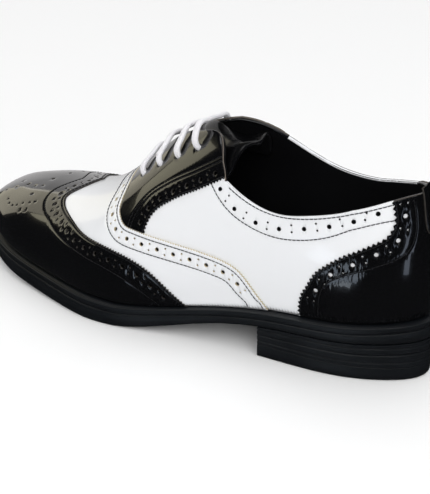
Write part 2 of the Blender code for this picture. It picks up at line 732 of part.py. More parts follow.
def heel():
    """The stacked heel with three grooves round its side, and its top piece on the floor."""
    def height(up):
        low = TOP_PIECE + LAYER_GAP
        return lambda x: low + (sole_bottom(x) - LAYER_GAP - low) * up

    rows = [(1.0, 0.0)]
    for middle in sorted(HEEL_GROOVES, reverse=True):
        rows += [(middle + 2 * GROOVE_HALF, 0.0), (middle + GROOVE_HALF, 1.0)]
        rows += [(middle - GROOVE_HALF, 1.0), (middle - 2 * GROOVE_HALF, 0.0)]
    rows.append((0.0, 0.0))
    loops = [heel_loop(HEEL_TAPER * (1 - up) + HEEL_GROOVE * cut) for up, cut in rows]
    plate("heel_block", loops, [height(up) for up, cut in rows], RUBBER, 0.4, columns=HEEL_COLUMNS)
    loops = [heel_loop(HEEL_TAPER + row.round * EDGE_ROUND) for row in TOP_PIECE_SIDE]
    heights = [lambda x, row=row: TOP_PIECE * (1 - row.drop) for row in TOP_PIECE_SIDE]
    plate("heel_top_piece", loops, heights, RUBBER, 0.45, columns=HEEL_COLUMNS)


def main():
    for old in list(bpy.data.objects):
        bpy.data.objects.remove(old, do_unlink=True)
    hole = opening()
    outsole()
    welt()
    heel()
    insole()
    upper(hole)
    vamp(hole)
    wing_cap()
    heel_counter(hole)
    eyestay("eyestay_near", EYESTAY_NEAR, -1, hole)
    eyestay("eyestay_far", EYESTAY_FAR, 1, hole)
    back_tab()
    tongue()
    for index, eyelet in enumerate(EYELETS, 1):
        lace_bar(index, eyelet)


main()
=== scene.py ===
import math
import bpy
import numpy as np
from mathutils import Matrix, Quaternion, Vector
from mathutils.geometry import delaunay_2d_cdt
from mathutils.kdtree import KDTree


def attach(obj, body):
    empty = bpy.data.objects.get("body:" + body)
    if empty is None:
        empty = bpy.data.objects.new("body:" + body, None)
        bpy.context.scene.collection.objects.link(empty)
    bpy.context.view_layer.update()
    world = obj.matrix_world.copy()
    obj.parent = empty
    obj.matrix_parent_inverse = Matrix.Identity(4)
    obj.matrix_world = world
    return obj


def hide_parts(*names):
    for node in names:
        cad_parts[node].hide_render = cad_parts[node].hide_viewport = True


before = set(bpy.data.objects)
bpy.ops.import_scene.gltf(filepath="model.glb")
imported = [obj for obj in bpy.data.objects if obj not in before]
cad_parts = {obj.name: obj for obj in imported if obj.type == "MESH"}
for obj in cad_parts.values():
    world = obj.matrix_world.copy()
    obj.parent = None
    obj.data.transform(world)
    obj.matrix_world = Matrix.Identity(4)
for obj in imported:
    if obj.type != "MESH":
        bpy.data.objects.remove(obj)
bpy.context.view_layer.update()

print("frame loaded")

# the last: the form that every leather piece lies on, as in the solids
last = {
    "length": 0.299, "ball": 0.09, "instep": 0.126, "heelHeight": 0.0205, "toeSpring": 0.013,
    "soleEdge": 0.0125, "weltMargin": 0.006, "bulge": 0.004, "gap": 0.0003, "tuck": 0.075,
    "toeFan": 0.806, "heelFan": 0.1245, "heelBack": (0.0155, 0.021), "toeTip": (0.979, 0.217)}
feather = [  # share of the length, near and far half widths
    (0.069, 0.173, 0.24), (0.15, 0.275, 0.312), (0.261, 0.32, 0.326), (0.372, 0.372, 0.305),
    (0.483, 0.455, 0.303), (0.584, 0.511, 0.373), (0.675, 0.487, 0.47), (0.766, 0.433, 0.512),
    (0.847, 0.357, 0.486), (0.917, 0.239, 0.404), (0.963, 0.098, 0.299)]
sections = [  # share, ridge height, ridge place, side power, top power, swell
    (0.0, 0.988, 0.021, 2.4, 2.4, 1.0), (0.119, 0.989, 0.021, 2.4, 2.4, 1.0),
    (0.241, 1.0, 0.032, 2.2, 2.3, 1.0), (0.362, 0.968, 0.054, 2.0, 2.2, 1.0),
    (0.443, 0.885, 0.06, 1.8, 2.1, 1.0), (0.524, 0.731, 0.06, 1.8, 2.1, 1.0),
    (0.604, 0.565, 0.052, 1.9, 2.1, 1.0), (0.705, 0.446, 0.047, 2.1, 2.1, 1.0),
    (0.806, 0.399, 0.06, 2.3, 2.2, 0.875), (1.0, 0.342, 0.07, 2.3, 2.2, 0.75)]
levels = [  # share, heel rise, toe rise, edge thickness, welt margin
    (0.0, 1.085, 0.0, 0.84, 0.75), (0.119, 0.98, 0.0, 0.69, 0.67),
    (0.251, 0.895, 0.0, 0.64, 0.67), (0.352, 0.631, 0.0, 0.675, 0.66),
    (0.453, 0.235, 0.0, 0.84, 0.77), (0.544, 0.0, 0.0, 0.975, 0.99),
    (0.604, 0.0, 0.0, 1.02, 1.05), (0.705, 0.0, 0.1, 1.068, 0.97),
    (0.786, 0.0, 0.217, 1.068, 0.95), (0.887, 0.0, 0.475, 1.023, 1.0),
    (1.0, 0.0, 1.0, 0.923, 1.02)]
cutLines = {  # share of the length, share of the way from the feather to the ridge
    "toplineNear": [
        (0.0165, 0.416), (0.03, 0.412), (0.05, 0.402), (0.07, 0.387), (0.09, 0.37), (0.11, 0.353),
        (0.125, 0.344), (0.16, 0.331), (0.2, 0.315), (0.235, 0.308), (0.271, 0.321), (0.3, 0.352),
        (0.321, 0.386), (0.335, 0.414), (0.347, 0.443)],
    "toplineFar": [
        (0.0165, 0.416), (0.03, 0.405), (0.05, 0.389), (0.07, 0.374), (0.09, 0.36), (0.12, 0.343),
        (0.16, 0.337), (0.2, 0.347), (0.235, 0.371), (0.271, 0.424), (0.3, 0.481), (0.321, 0.532),
        (0.345, 0.598), (0.362, 0.648), (0.378, 0.687), (0.4, 0.728)],
    "facingRear": [
        (0.347, 0.443), (0.352, 0.485), (0.36, 0.533), (0.366, 0.588), (0.373, 0.642), (0.381, 0.682),
        (0.39, 0.71), (0.402, 0.735)],
    "throatNear": [
        (0.402, 0.735), (0.422, 0.763), (0.435, 0.784), (0.448, 0.808), (0.506, 0.885), (0.545, 0.915),
        (0.574, 0.93)],
    "throatFar": [
        (0.4, 0.728), (0.422, 0.763), (0.448, 0.808), (0.506, 0.885), (0.545, 0.915), (0.574, 0.93)],
    "vampEdge": [
        (0.232, -0.08), (0.251, -0.005), (0.272, 0.045), (0.296, 0.101), (0.334, 0.151), (0.387, 0.202),
        (0.446, 0.269), (0.486, 0.319), (0.515, 0.361), (0.535, 0.402), (0.549, 0.462), (0.557, 0.513),
        (0.56, 0.563), (0.562, 0.613), (0.569, 0.723), (0.579, 0.832), (0.588, 1.0)],
    "capEdge": [
        (0.375, -0.08), (0.401, -0.005), (0.421, 0.042), (0.463, 0.143), (0.521, 0.244), (0.603, 0.361),
        (0.646, 0.437), (0.694, 0.546), (0.722, 0.63), (0.733, 0.71), (0.724, 0.8), (0.697, 1.0)],
    "capSeam": [
        (0.43, -0.06), (0.451, 0.0), (0.466, 0.034), (0.495, 0.092), (0.537, 0.16), (0.59, 0.227),
        (0.644, 0.294), (0.692, 0.361), (0.732, 0.445), (0.756, 0.513), (0.776, 0.605), (0.782, 0.706),
        (0.766, 0.891), (0.755, 1.0)],
    "collarSeam": [
        (0.04, 0.325), (0.065, 0.319), (0.122, 0.277), (0.184, 0.235), (0.217, 0.227), (0.26, 0.235),
        (0.293, 0.261), (0.319, 0.286), (0.343, 0.336), (0.36, 0.387), (0.372, 0.437), (0.38, 0.47)],
    "collarHoles": [
        (0.3546, 0.412), (0.3224, 0.328), (0.281, 0.277), (0.2387, 0.2605), (0.1962, 0.269), (0.1561, 0.286),
        (0.12, 0.311), (0.0865, 0.3445)],
    "eyestayNear": [
        (0.48, 0.24), (0.486, 0.335), (0.482, 0.375), (0.472, 0.408), (0.457, 0.422), (0.431, 0.43),
        (0.399, 0.431), (0.372, 0.438), (0.35, 0.45), (0.34, 0.458)],
    "eyestayFar": [
        (0.48, 0.24), (0.486, 0.335), (0.482, 0.375), (0.472, 0.408), (0.457, 0.425), (0.431, 0.438),
        (0.399, 0.45), (0.372, 0.468), (0.345, 0.497), (0.315, 0.555)],
    "counterEdge": [
        (0.199, -0.08), (0.199, 0.017), (0.196, 0.05), (0.187, 0.084), (0.176, 0.122), (0.159, 0.156),
        (0.14, 0.182), (0.118, 0.208), (0.098, 0.232), (0.08, 0.254), (0.069, 0.285), (0.065, 0.315),
        (0.066, 0.35), (0.07, 0.47)],
    "counterSeam": [
        (0.164, -0.06), (0.164, 0.034), (0.162, 0.076), (0.135, 0.109), (0.115, 0.134), (0.094, 0.151),
        (0.067, 0.176), (0.046, 0.193), (0.039, 0.227), (0.037, 0.269), (0.036, 0.33), (0.038, 0.4)],
    "tongueEdge": [
        (0.64, 1.0), (0.632, 0.9), (0.61, 0.79), (0.57, 0.68), (0.5, 0.59), (0.42, 0.53),
        (0.378, 0.485), (0.36, 0.458), (0.35, 0.47), (0.345, 0.56), (0.343, 0.76), (0.343, 1.0)],
    "backTab": [
        (0.0156, 0.25), (0.0185, 0.251), (0.0225, 0.258), (0.0262, 0.285), (0.0262, 0.35), (0.025, 0.416),
        (0.025, 0.436)]}
eyeletPlaces = [(0.536, 0.694), (0.498, 0.678), (0.459, 0.66), (0.419, 0.651)]
layers = {  # heights over the last's skin
    "lining": -0.0026, "quarter": -0.0006, "vamp": 0.0006, "overlay": 0.0003, "cap": 0.0016,
    "tab": 0.0018, "tongueTop": -0.0035, "tongueBase": -0.0065}


def spline(knots, values, closed=False):
    t = np.asarray(knots, float)
    p = np.asarray(values, float)
    h = np.diff(t)
    end = len(t) - 1
    system = np.zeros((end + 1, end + 1))
    right = np.zeros((end + 1,) + p.shape[1:])
    for i in range(1, end):
        system[i, i - 1:i + 2] = h[i - 1], 2 * (h[i - 1] + h[i]), h[i]
        right[i] = 6 * ((p[i + 1] - p[i]) / h[i] - (p[i] - p[i - 1]) / h[i - 1])
    if closed:
        system[0, 0], system[0, end] = 1, -1
        system[end, :2] += 2 * h[0], h[0]
        system[end, end - 1:] += h[-1], 2 * h[-1]
        right[end] = 6 * ((p[1] - p[0]) / h[0] - (p[end] - p[end - 1]) / h[-1])
    else:
        system[0, 0] = system[end, end] = 1
    bend = np.linalg.solve(system, right)

    def at(x):
        x = np.asarray(x, float)
        i = np.clip(np.searchsorted(t, x) - 1, 0, end - 1)
        w = t[i + 1] - t[i]
        a = (t[i + 1] - x) / w
        b = 1 - a
        if p.ndim > 1:
            a, b, w = a[..., None], b[..., None], w[..., None]
        return a * p[i] + b * p[i + 1] + ((a**3 - a) * bend[i] + (b**3 - b) * bend[i + 1]) * w * w / 6
    return at


def smooth(x):
    x = np.clip(x, 0, 1)
    return x * x * (3 - 2 * x)


def lengths(points):  # the way gone along a line at each of its points
    return np.concatenate([[0], np.cumsum(np.linalg.norm(np.diff(points, axis=0), axis=1))])


def sampled(where, s, rows):  # the rows at given ways along the line
    return np.stack([np.interp(where, s, rows[:, k]) for k in range(rows.shape[1])], 1)


def xAt(share):
    return last["length"] * (0.5 - np.asarray(share, float))


def shareAt(x):
    return 0.5 - np.asarray(x, float) / last["length"]


def column(rows, index, size=1.0):
    shares = [row[0] for row in rows]
    curve = spline(shares, [row[index] * size for row in rows])
    return lambda x: curve(np.clip(shareAt(x), shares[0], shares[-1]))


ridge = column(sections, 1, last["instep"])
shift = column(sections, 2, last["ball"])
sidePower = column(sections, 3)
topPower = column(sections, 4)
swell = column(sections, 5, last["bulge"])
heelRise = column(levels, 1, last["heelHeight"])
toeRise = column(levels, 2, last["toeSpring"])
edgeHeight = column(levels, 3, last["soleEdge"])
margin = column(levels, 4, last["weltMargin"])


def soleBottom(x):
    return np.maximum(heelRise(x) + toeRise(x), 0)


def soleTop(x):
    return soleBottom(x) + edgeHeight(x)


def featherCurve(count):
    near = [(xAt(row[0]), -row[1] * last["ball"]) for row in reversed(feather)]
    far = [(xAt(row[0]), row[2] * last["ball"]) for row in feather]
    tip = (xAt(last["toeTip"][0]), last["toeTip"][1] * last["ball"])
    back = (xAt(last["heelBack"][0]), last["heelBack"][1] * last["ball"])
    points = np.array([tip, *near, back, *far, tip])
    knots = np.concatenate([[0], np.cumsum(np.linalg.norm(np.diff(points, axis=0), axis=1) ** 0.5)])
    return spline(knots, points, closed=True)(np.linspace(0, knots[-1], count + 1))[:-1]


outline = featherCurve(6000)
toeX, heelX = float(xAt(last["toeFan"])), float(xAt(last["heelFan"]))


def spine(x):
    held = np.clip(x, toeX, heelX)
    return np.stack([held, shift(held)], -1)


def fanRadius(centreX, way):
    offset = outline - spine(centreX)
    kept = offset[offset[:, 0] * way >= -0.04 * last["length"]]
    angle = np.arctan2(kept[:, 1], kept[:, 0] * way)
    order = np.argsort(angle)
    return angle[order], np.hypot(kept[order, 0], kept[order, 1])


def sideLine(side):
    kept = outline[(outline[:, 1] - shift(outline[:, 0])) * side > 0]
    kept = kept[np.argsort(kept[:, 0])]
    return kept[:, 0], kept[:, 1]


toeRadius, heelRadius = fanRadius(toeX, -1), fanRadius(heelX, 1)
sideLines = {-1: sideLine(-1), 1: sideLine(1)}
ridgeSlope = float(ridge(toeX + 1e-4) - ridge(toeX - 1e-4)) / 2e-4


def foot(q):
    x, y = q[..., 0], q[..., 1]
    base = spine(x)
    offset = q - base
    reach = np.hypot(offset[..., 0], offset[..., 1])
    side = np.where(y < base[..., 1], -1.0, 1.0)
    straight = np.stack([0 * x, side], -1)
    way = np.where((reach > 1e-9)[..., None], offset / np.maximum(reach, 1e-9)[..., None], straight)
    line = np.where(side < 0, np.interp(x, *sideLines[-1]), np.interp(x, *sideLines[1]))
    toe = np.interp(np.arctan2(offset[..., 1], -offset[..., 0]), *toeRadius)
    heel = np.interp(np.arctan2(offset[..., 1], offset[..., 0]), *heelRadius)
    radius = np.where(x < toeX, toe, np.where(x > heelX, heel, np.abs(line - base[..., 1])))
    return base, way, radius, reach / radius


def surface(q):
    base, way, radius, share = foot(q)
    edge = base + way * radius[..., None]
    low = soleTop(edge[..., 0]) + last["gap"]
    high = ridge(base[..., 0]) - low
    out = np.sin(np.clip(share, 0, 1) * math.pi / 2)
    rise = np.maximum(1 - out ** sidePower(base[..., 0]), 0) ** (1 / topPower(base[..., 0]))
    reach = radius * out + swell(base[..., 0]) * np.sin(math.pi * rise**0.6)
    slope = np.where(q[..., 0] < toeX, ridgeSlope * way[..., 0] * reach * rise**2, 0)
    plan = base + way * reach[..., None]
    return np.concatenate([plan, (low + high * rise + slope)[..., None]], -1)


def slopes(q, step=2e-4):
    ex, ey = np.array([step, 0]), np.array([0, step])
    return (surface(q + ex) - surface(q - ex)) / (2 * step), (surface(q + ey) - surface(q - ey)) / (2 * step)


def unit(v):
    return v / np.maximum(np.linalg.norm(v, axis=-1, keepdims=True), 1e-12)


def skin(q, offset):
    jx, jy = slopes(q)
    normal = unit(np.cross(jx, jy))
    up = 1 - foot(q)[3]
    normal[..., 2] *= smooth(up / last["tuck"])
    normal = unit(normal)
    place = surface(q) + normal * np.asarray(offset)[..., None]
    seat = soleTop(place[..., 0]) + last["gap"]
    place[..., 2] = np.where(up < 1e-4, seat, np.maximum(place[..., 2], seat))
    return place, normal


def plan(along, up, side):
    x = xAt(along)
    atEdge = np.stack([x, np.interp(x, *sideLines[side])], -1)
    base = spine(x)
    return base + (atEdge - base) * (1 - np.asarray(up, float))[..., None]


# drawing on the last
lineStep = 0.0006


def evenly(line, step, closed=False):  # points about a step apart over the last
    if closed:
        line = np.concatenate([line, line[:1]])
    length = np.linalg.norm(np.diff(surface(line), axis=0), axis=1)
    length = length + 0.2 * np.linalg.norm(np.diff(line, axis=0), axis=1)
    s = np.concatenate([[0], np.cumsum(length)])
    wanted = np.linspace(0, s[-1], max(2, int(round(s[-1] / step))) + 1)
    made = sampled(wanted, s, line)
    return made[:-1] if closed else made


def drawn(name, side):
    points = plan(*zip(*cutLines[name]), side)
    knots = lengths(points)
    return evenly(spline(knots, points)(np.linspace(0, knots[-1], 1500)), lineStep)


def eased(line, reach):  # the same line with its small kinks taken out, ends kept
    count = max(1, int(reach / lineStep))
    start = 2 * line[0] - line[count:0:-1]
    end = 2 * line[-1] - line[-2:-count - 2:-1]
    weight = np.exp(-0.5 * (np.arange(-count, count + 1) / (0.4 * count))**2)
    weight /= weight.sum()
    padded = np.concatenate([start, line, end])
    return np.stack([np.convolve(padded[:, k], weight, "valid") for k in (0, 1)], 1)


collarDip = {"drop": 0.0008, "heelEnd": 0.09, "frontEnd": 0.31, "run": 0.08, "reach": 0.024}


def levelled(line, drop=0.0):  # the same line, moved up and down the last until its height runs smoothly
    base, way, radius, _ = foot(line)
    rows = np.stack([np.arange(len(line)), surface(line)[:, 2]], 1)
    along = shareAt(line[:, 0])
    dip = smooth((along - collarDip["heelEnd"]) / collarDip["run"])
    dip *= smooth((collarDip["frontEnd"] - along) / collarDip["run"])
    wanted = eased(rows, collarDip["reach"])[:, 1] - drop * dip
    low, high = np.zeros(len(line)), np.ones(len(line))
    for _ in range(40):
        share = (low + high) / 2
        above = surface(base + way * (radius * share)[:, None])[:, 2] > wanted
        low, high = np.where(above, share, low), np.where(above, high, share)
    return base + way * (radius * share)[:, None]


def across(name):  # near feather, over the ridge, far feather
    near, far = drawn(name, -1), drawn(name, 1)[::-1]
    return np.concatenate([near, far[1:]])


def sideStep(line, distance, closed=False, ease=0.0):  # moves a line to its left, in metres over the last
    count = max(1, int(abs(distance) / 0.002 + 0.5))
    for _ in range(count):
        if closed:
            ahead = np.roll(line, -1, axis=0) - np.roll(line, 1, axis=0)
        else:
            ahead = np.gradient(line, axis=0)
        jx, jy = slopes(line)
        gxx, gxy, gyy = (jx * jx).sum(1), (jx * jy).sum(1), (jy * jy).sum(1)
        turned = np.stack([-ahead[:, 1], ahead[:, 0]], 1)
        even = gxx * gyy - gxy**2
        way = np.stack([gyy * turned[:, 0] - gxy * turned[:, 1], gxx * turned[:, 1] - gxy * turned[:, 0]], 1)
        size = np.sqrt(np.maximum(
            gxx * way[:, 0]**2 + 2 * gxy * way[:, 0] * way[:, 1] + gyy * way[:, 1]**2, 1e-30))
        flat = (even < 0.05) | (size < 1e-12)
        way = np.where(flat[:, None], unit(turned), way / size[:, None])
        line = line + way * distance / count
        if ease:
            knots = evenly(line, ease)
            s = np.linspace(0, 1, len(knots))
            line = evenly(spline(s, knots)(np.linspace(0, 1, 1200)), lineStep)
    return line


def inPlan(line, fromShare, toShare):
    return line[(shareAt(line[:, 0]) >= fromShare) & (shareAt(line[:, 0]) <= toShare)]


toothFade = 0.08


def pinked(line, size, inwards):  # a zigzag edge, cut inwards from the line
    even = evenly(line, size["pitch"] / 2)
    cut = sideStep(even, inwards * size["depth"])
    teeth = np.arange(len(even)) % 2
    if "fade" in size:
        teeth = teeth * smooth((size["fade"] - (1 - foot(even)[3])) / toothFade)
    return even + (cut - even) * teeth[:, None]


def roundHoles(centres, radius, sides):
    jx, jy = slopes(np.asarray(centres, float))
    a = np.linalg.norm(jx, axis=1)
    c = (jx * jy).sum(1) / a
    s = np.linalg.norm(jy - jx * (c / a)[:, None], axis=1)
    turn = 2 * math.pi * np.arange(sides) / sides
    dy = radius * np.sin(turn)[None] / s[:, None]
    dx = (radius * np.cos(turn)[None] - c[:, None] * dy) / a[:, None]
    return np.asarray(centres)[:, None] + np.stack([dx, dy], -1)


def brogueRow(line, size):  # large holes, and pairs of small ones between them
    s = lengths(surface(line))
    places = np.arange(size["first"], s[-1] - size.get("rest", 0), size["spacing"])
    mid = places[:-1] + size["spacing"] / 2
    small = [sampled(mid, s, sideStep(line, way)) for way in (size["pair"], -size["pair"])]
    return sampled(places, s, line), np.concatenate(small)


# meshes
def within(loop, points):  # even-odd test, in strips across y
    order = np.argsort(points[:, 1])
    result = np.zeros(len(points), bool)
    a, b = loop, np.roll(loop, -1, axis=0)
    low, high = np.minimum(a[:, 1], b[:, 1]), np.maximum(a[:, 1], b[:, 1])
    for start in range(0, len(points), 400):
        part = order[start:start + 400]
        y = points[part, 1]
        near = (high >= y[0]) & (low <= y[-1])
        a1, b1 = a[near], b[near]
        crosses = (a1[:, 1] > y[:, None]) != (b1[:, 1] > y[:, None])
        rise = np.where(b1[:, 1] == a1[:, 1], 1, b1[:, 1] - a1[:, 1])
        cut = a1[:, 0] + (y[:, None] - a1[:, 1]) / rise * (b1[:, 0] - a1[:, 0])
        result[part] = (crosses & (points[part, 0, None] < cut)).sum(1) % 2 == 1
    return result


def treeOf(points):
    tree = KDTree(len(points))
    for i, point in enumerate(points):
        tree.insert(point, i)
    tree.balance()
    return tree


def lineTree(lines, step, closed=False):
    return treeOf(np.concatenate([surface(evenly(line, step, closed)) for line in lines]))


def gapTo(tree, points):
    return np.array([tree.find(point)[2] for point in points])


def uncovered(points, loop, cuts):  # which points lie inside the loop and outside the cuts
    ok = within(loop, points)
    for cut in cuts:
        ok &= ~within(cut, points)
    return ok


def makeLattice(step):
    ups = np.linspace(0, 1, 2000)
    arc = surface(plan(np.full(2000, 0.42), ups, -1))
    s = lengths(arc)
    rows = np.interp(np.linspace(0, s[-1], int(s[-1] / step)), s, ups)
    points = []
    for j, up in enumerate(rows[:-1]):
        half = 0.5 * (j % 2)
        scale = 1 - up
        for centreX, way, radius, reach in ((toeX, -1, toeRadius, 0.045), (heelX, 1, heelRadius, 0.03)):
            count = max(3, int(math.pi * reach * (0.2 + 0.8 * scale) / step * min(1, 1.3 * scale + 0.05)))
            angle = math.pi * ((np.arange(count) + half) / count - 0.5)
            r = np.interp(angle, *radius) * scale
            points.append(spine(centreX) + np.stack([way * r * np.cos(angle), r * np.sin(angle)], 1))
        xs = np.arange(toeX, heelX, step) + half * step
        for side in (-1, 1):
            points.append(plan(shareAt(xs), np.full(len(xs), up), side))
    return np.concatenate(points)


lattice = makeLattice(0.0016)
featherRing = featherCurve(900)
print("last ready:", len(lattice), "points")


def makePiece(name, points, faces, materials, nodes=(), slots=None, normals=None, uv=None, angle=None):
    mesh = bpy.data.meshes.new(name)
    mesh.from_pydata(np.asarray(points).tolist(), [], [list(map(int, f)) for f in faces])
    for material in materials:
        mesh.materials.append(material)
    if slots is not None:
        mesh.polygons.foreach_set("material_index", np.asarray(slots, np.int32))
    if uv is not None:
        layer = mesh.uv_layers.new(name="UVMap")
        index = np.zeros(len(mesh.loops), np.int32)
        mesh.loops.foreach_get("vertex_index", index)
        layer.data.foreach_set("uv", np.asarray(uv, np.float32)[index].ravel())
    mesh.shade_smooth()
    if angle is not None:
        mesh.set_sharp_from_angle(angle=math.radians(angle))
    if normals is not None:
        found = np.zeros(len(points) * 3, np.float32)
        mesh.vertex_normals.foreach_get("vector", found)
        found = found.reshape(-1, 3)
        wanted, use = normals
        found[use] = wanted[use]
        mesh.normals_split_custom_set_from_vertices(found.tolist())
    piece = bpy.data.objects.new(name, mesh)
    bpy.context.collection.objects.link(piece)
    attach(piece, "root")
    if nodes:
        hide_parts(*nodes)


def triangles(points, edges, tolerance):
    found = delaunay_2d_cdt([Vector(p) for p in points], edges, [], 0, tolerance)
    return np.array([tuple(v) for v in found[0]]), np.array([f for f in found[2] if len(f) == 3])


leather = {
    "round": 0.00035, "seamWidth": 0.001, "seamDip": 0.00022, "seamStep": 0.0007, "borderStep": 0.0002,
    "clear": 0.0009, "calm": 0.0005, "seamClear": 1.6, "seamCalm": 1.2, "holeStep": 0.0004, "holeEdge": 0.96,
    "seamEnd": 0.995}


def panel(name, loop, materials, nodes, top, low, cuts=(), holes=(), seams=(), inwards=False, place=skin,
          rounded=leather["round"]):
    # one piece of leather: its face with rounded edges, holes and pressed-in seams, and its cut edge
    seams = [line for line in seams if len(line) > 3]
    holes = [hole for hole in holes if len(hole[0])]
    rings, wider = [
        [ring for centres, radius, sides in holes for ring in roundHoles(centres, radius + more, sides)]
        for more in (0, rounded)]
    closed = [loop, *cuts, *rings]
    border = lineTree(closed, leather["borderStep"], True)
    grid = lattice[uncovered(lattice, loop, cuts)]
    grid3 = surface(grid)
    clear = gapTo(border, grid3) > leather["clear"]
    wide = leather["seamWidth"]
    seamPoints = []
    if seams:
        seamTree = lineTree(seams, leather["borderStep"])
        clear &= gapTo(seamTree, grid3) > leather["seamClear"] * wide
        for line in seams:
            even = evenly(line, leather["seamStep"])
            seamPoints += [even, *[sideStep(even, way * wide) for way in (1, -1, 0.5, -0.5)]]
    for line, sign in ((loop, 1), *[(cut, -1) for cut in cuts]):
        area = np.sum(line[:, 0] * np.roll(line[:, 1], -1) - np.roll(line[:, 0], -1) * line[:, 1])
        wider.append(sideStep(line, rounded * sign * (1 if area > 0 else -1), closed=True))
    extra = np.concatenate([*wider, *seamPoints])
    extra = extra[gapTo(border, surface(extra)) > rounded * 0.7]
    points, edges = [], []
    for line in (*closed, featherRing):
        start = len(points)
        points.extend(line.tolist())
        edges += [(start + i, start + (i + 1) % len(line)) for i in range(len(line))]
    flat, faces = triangles([*points, *extra.tolist(), *grid[clear].tolist()], edges, 1e-7)
    middle = flat[faces].mean(1)
    keep = uncovered(middle, loop, cuts) & (foot(middle)[3] < 1)
    if holes:
        spotTree = treeOf(np.concatenate([surface(np.asarray(centres)) for centres, _, _ in holes]))
        reach = np.concatenate([np.full(len(centres), radius) for centres, radius, _ in holes])
        for i, point in enumerate(surface(middle)):
            _, index, gap = spotTree.find(point)
            keep[i] &= gap >= reach[index]
    used, faces = np.unique(faces[keep], return_inverse=True)
    faces = faces.reshape(-1, 3)
    flat = flat[used]
    flat3 = surface(flat)
    gap = gapTo(border, flat3)
    drop = rounded - np.sqrt(np.maximum(rounded**2 - np.maximum(rounded - gap, 0)**2, 0))
    calm = gap > leather["calm"]
    if seams:
        near = gapTo(seamTree, flat3)
        drop = drop + leather["seamDip"] * np.exp(-(near / (0.5 * wide))**2)
        calm &= near > leather["seamCalm"] * wide
    face, normal = place(flat, top + (drop if inwards else -drop))
    base, _ = place(flat, np.full(len(flat), low))
    if inwards:
        faces = faces[:, ::-1]
        normal = -normal
    edgeSet = {(a, b) for f in faces for a, b in zip(f, np.roll(f, -1))}
    rim = [(a, b) for a, b in edgeSet if (b, a) not in edgeSet]
    lower = sorted({a for pair in rim for a in pair})
    order = {a: len(flat) + i for i, a in enumerate(lower)}
    allFaces = faces.tolist() + [(b, a, order[a], order[b]) for a, b in sorted(rim)]
    slots = [0] * len(faces) + [min(1, len(materials) - 1)] * len(rim)
    normals = np.concatenate([normal, normal[lower]]), np.concatenate([calm, np.zeros(len(lower), bool)])
    makePiece(name, np.concatenate([face, base[lower]]), allFaces, materials, nodes, slots, normals)
    print("panel", name, len(allFaces), "faces")


stitchSize = {
    "length": 0.0018, "gap": 0.0004, "radius": 0.00028, "lift": 0.0001, "sides": 5,
    "rings": ((0.0, -1.6), (0.2, 0.6), (0.5, 1.0), (0.8, 0.6), (1.0, -1.6))}


def stitches(name, runs, material):
    # short threads laid along each run; a run is a plan line and its height
    size = stitchSize
    n = size["sides"]
    shares, lifts = np.array(size["rings"]).T
    turn = 2 * math.pi * np.arange(n) / n
    points, faces, start = [], [], 0
    for line, height in runs:
        if len(line) < 3:
            continue
        s = lengths(surface(line))
        starts = np.arange(0, s[-1] - size["length"], size["length"] + size["gap"])
        q = sampled((starts[:, None] + shares * size["length"]).ravel(), s, line)
        centre, out = skin(q, height + np.tile(lifts * size["lift"], len(starts)))
        way = unit(np.gradient(centre.reshape(-1, len(shares), 3), axis=1)).reshape(-1, 3)
        out = unit(out - (out * way).sum(1, keepdims=True) * way)
        wide = np.cross(out, way)
        ring = wide[:, None] * np.cos(turn)[:, None] + out[:, None] * np.sin(turn)[:, None]
        points.append((centre[:, None] + ring * size["radius"]).reshape(-1, 3))
        end = start + len(points[-1])
        for first in range(start, end, len(shares) * n):
            lastRing = first + (len(shares) - 1) * n
            for row in range(first, lastRing, n):
                for j in range(n):
                    a, b = row + j, row + (j + 1) % n
                    faces.append((a, b, b + n, a + n))
            faces += [tuple(first + j for j in reversed(range(n))), tuple(lastRing + j for j in range(n))]
        start = end
    makePiece(name, np.concatenate(points), faces, [material])
    print("stitches", name, "ready")


def sweep(name, centres, outs, profile, material, nodes):
    # a profile of (side, out) offsets carried along a line, closed at both ends
    ahead = unit(np.gradient(centres, axis=0))
    outs = unit(outs - (outs * ahead).sum(1, keepdims=True) * ahead)
    wide = np.cross(outs, ahead)
    points = centres[:, None] + wide[:, None] * profile[:, :1] + outs[:, None] * profile[:, 1:]
    n, count = len(profile), len(centres)
    uv = np.stack([np.repeat(lengths(centres), n) * 100, np.tile(np.arange(n) / n, count)], 1)
    faces = [
        (row + k, row + (k + 1) % n, row + n + (k + 1) % n, row + n + k)
        for row in range(0, (count - 1) * n, n) for k in range(n)]
    faces += [tuple(reversed(range(n))), tuple(range((count - 1) * n, count * n))]
    makePiece(name, points.reshape(-1, 3), faces, [material], nodes, uv=uv)


def ellipse(width, height, sides, power=1.0):
    turn = 2 * math.pi * np.arange(sides) / sides
    c, s = np.cos(turn), np.sin(turn)
    return np.stack([np.sign(c) * np.abs(c)**power * width / 2, np.sign(s) * np.abs(s)**power * height / 2], 1)


# materials
class Wire:
    def __init__(self, graph, socket):
        self.graph = graph
        self.socket = socket

    def joined(self, kind, other, turned=False):
        pair = (other, self) if turned else (self, other)
        return self.graph.node("ShaderNodeMath", {"operation": kind}, {0: pair[0], 1: pair[1]})

    def __add__(self, other):
        return self.joined("ADD", other)

    def __sub__(self, other):
        return self.joined("SUBTRACT", other)

    def __rsub__(self, other):
        return self.joined("SUBTRACT", other, True)

    def __mul__(self, other):
        return self.joined("MULTIPLY", other)

    __radd__ = __add__
    __rmul__ = __mul__

    def sine(self):
        return self.graph.node("ShaderNodeMath", {"operation": "SINE"}, {0: self})

    def ramp(self, low, high):
        return self.graph.node(
            "ShaderNodeMapRange", {"clamp": True}, {"Value": self, "From Min": low, "From Max": high})


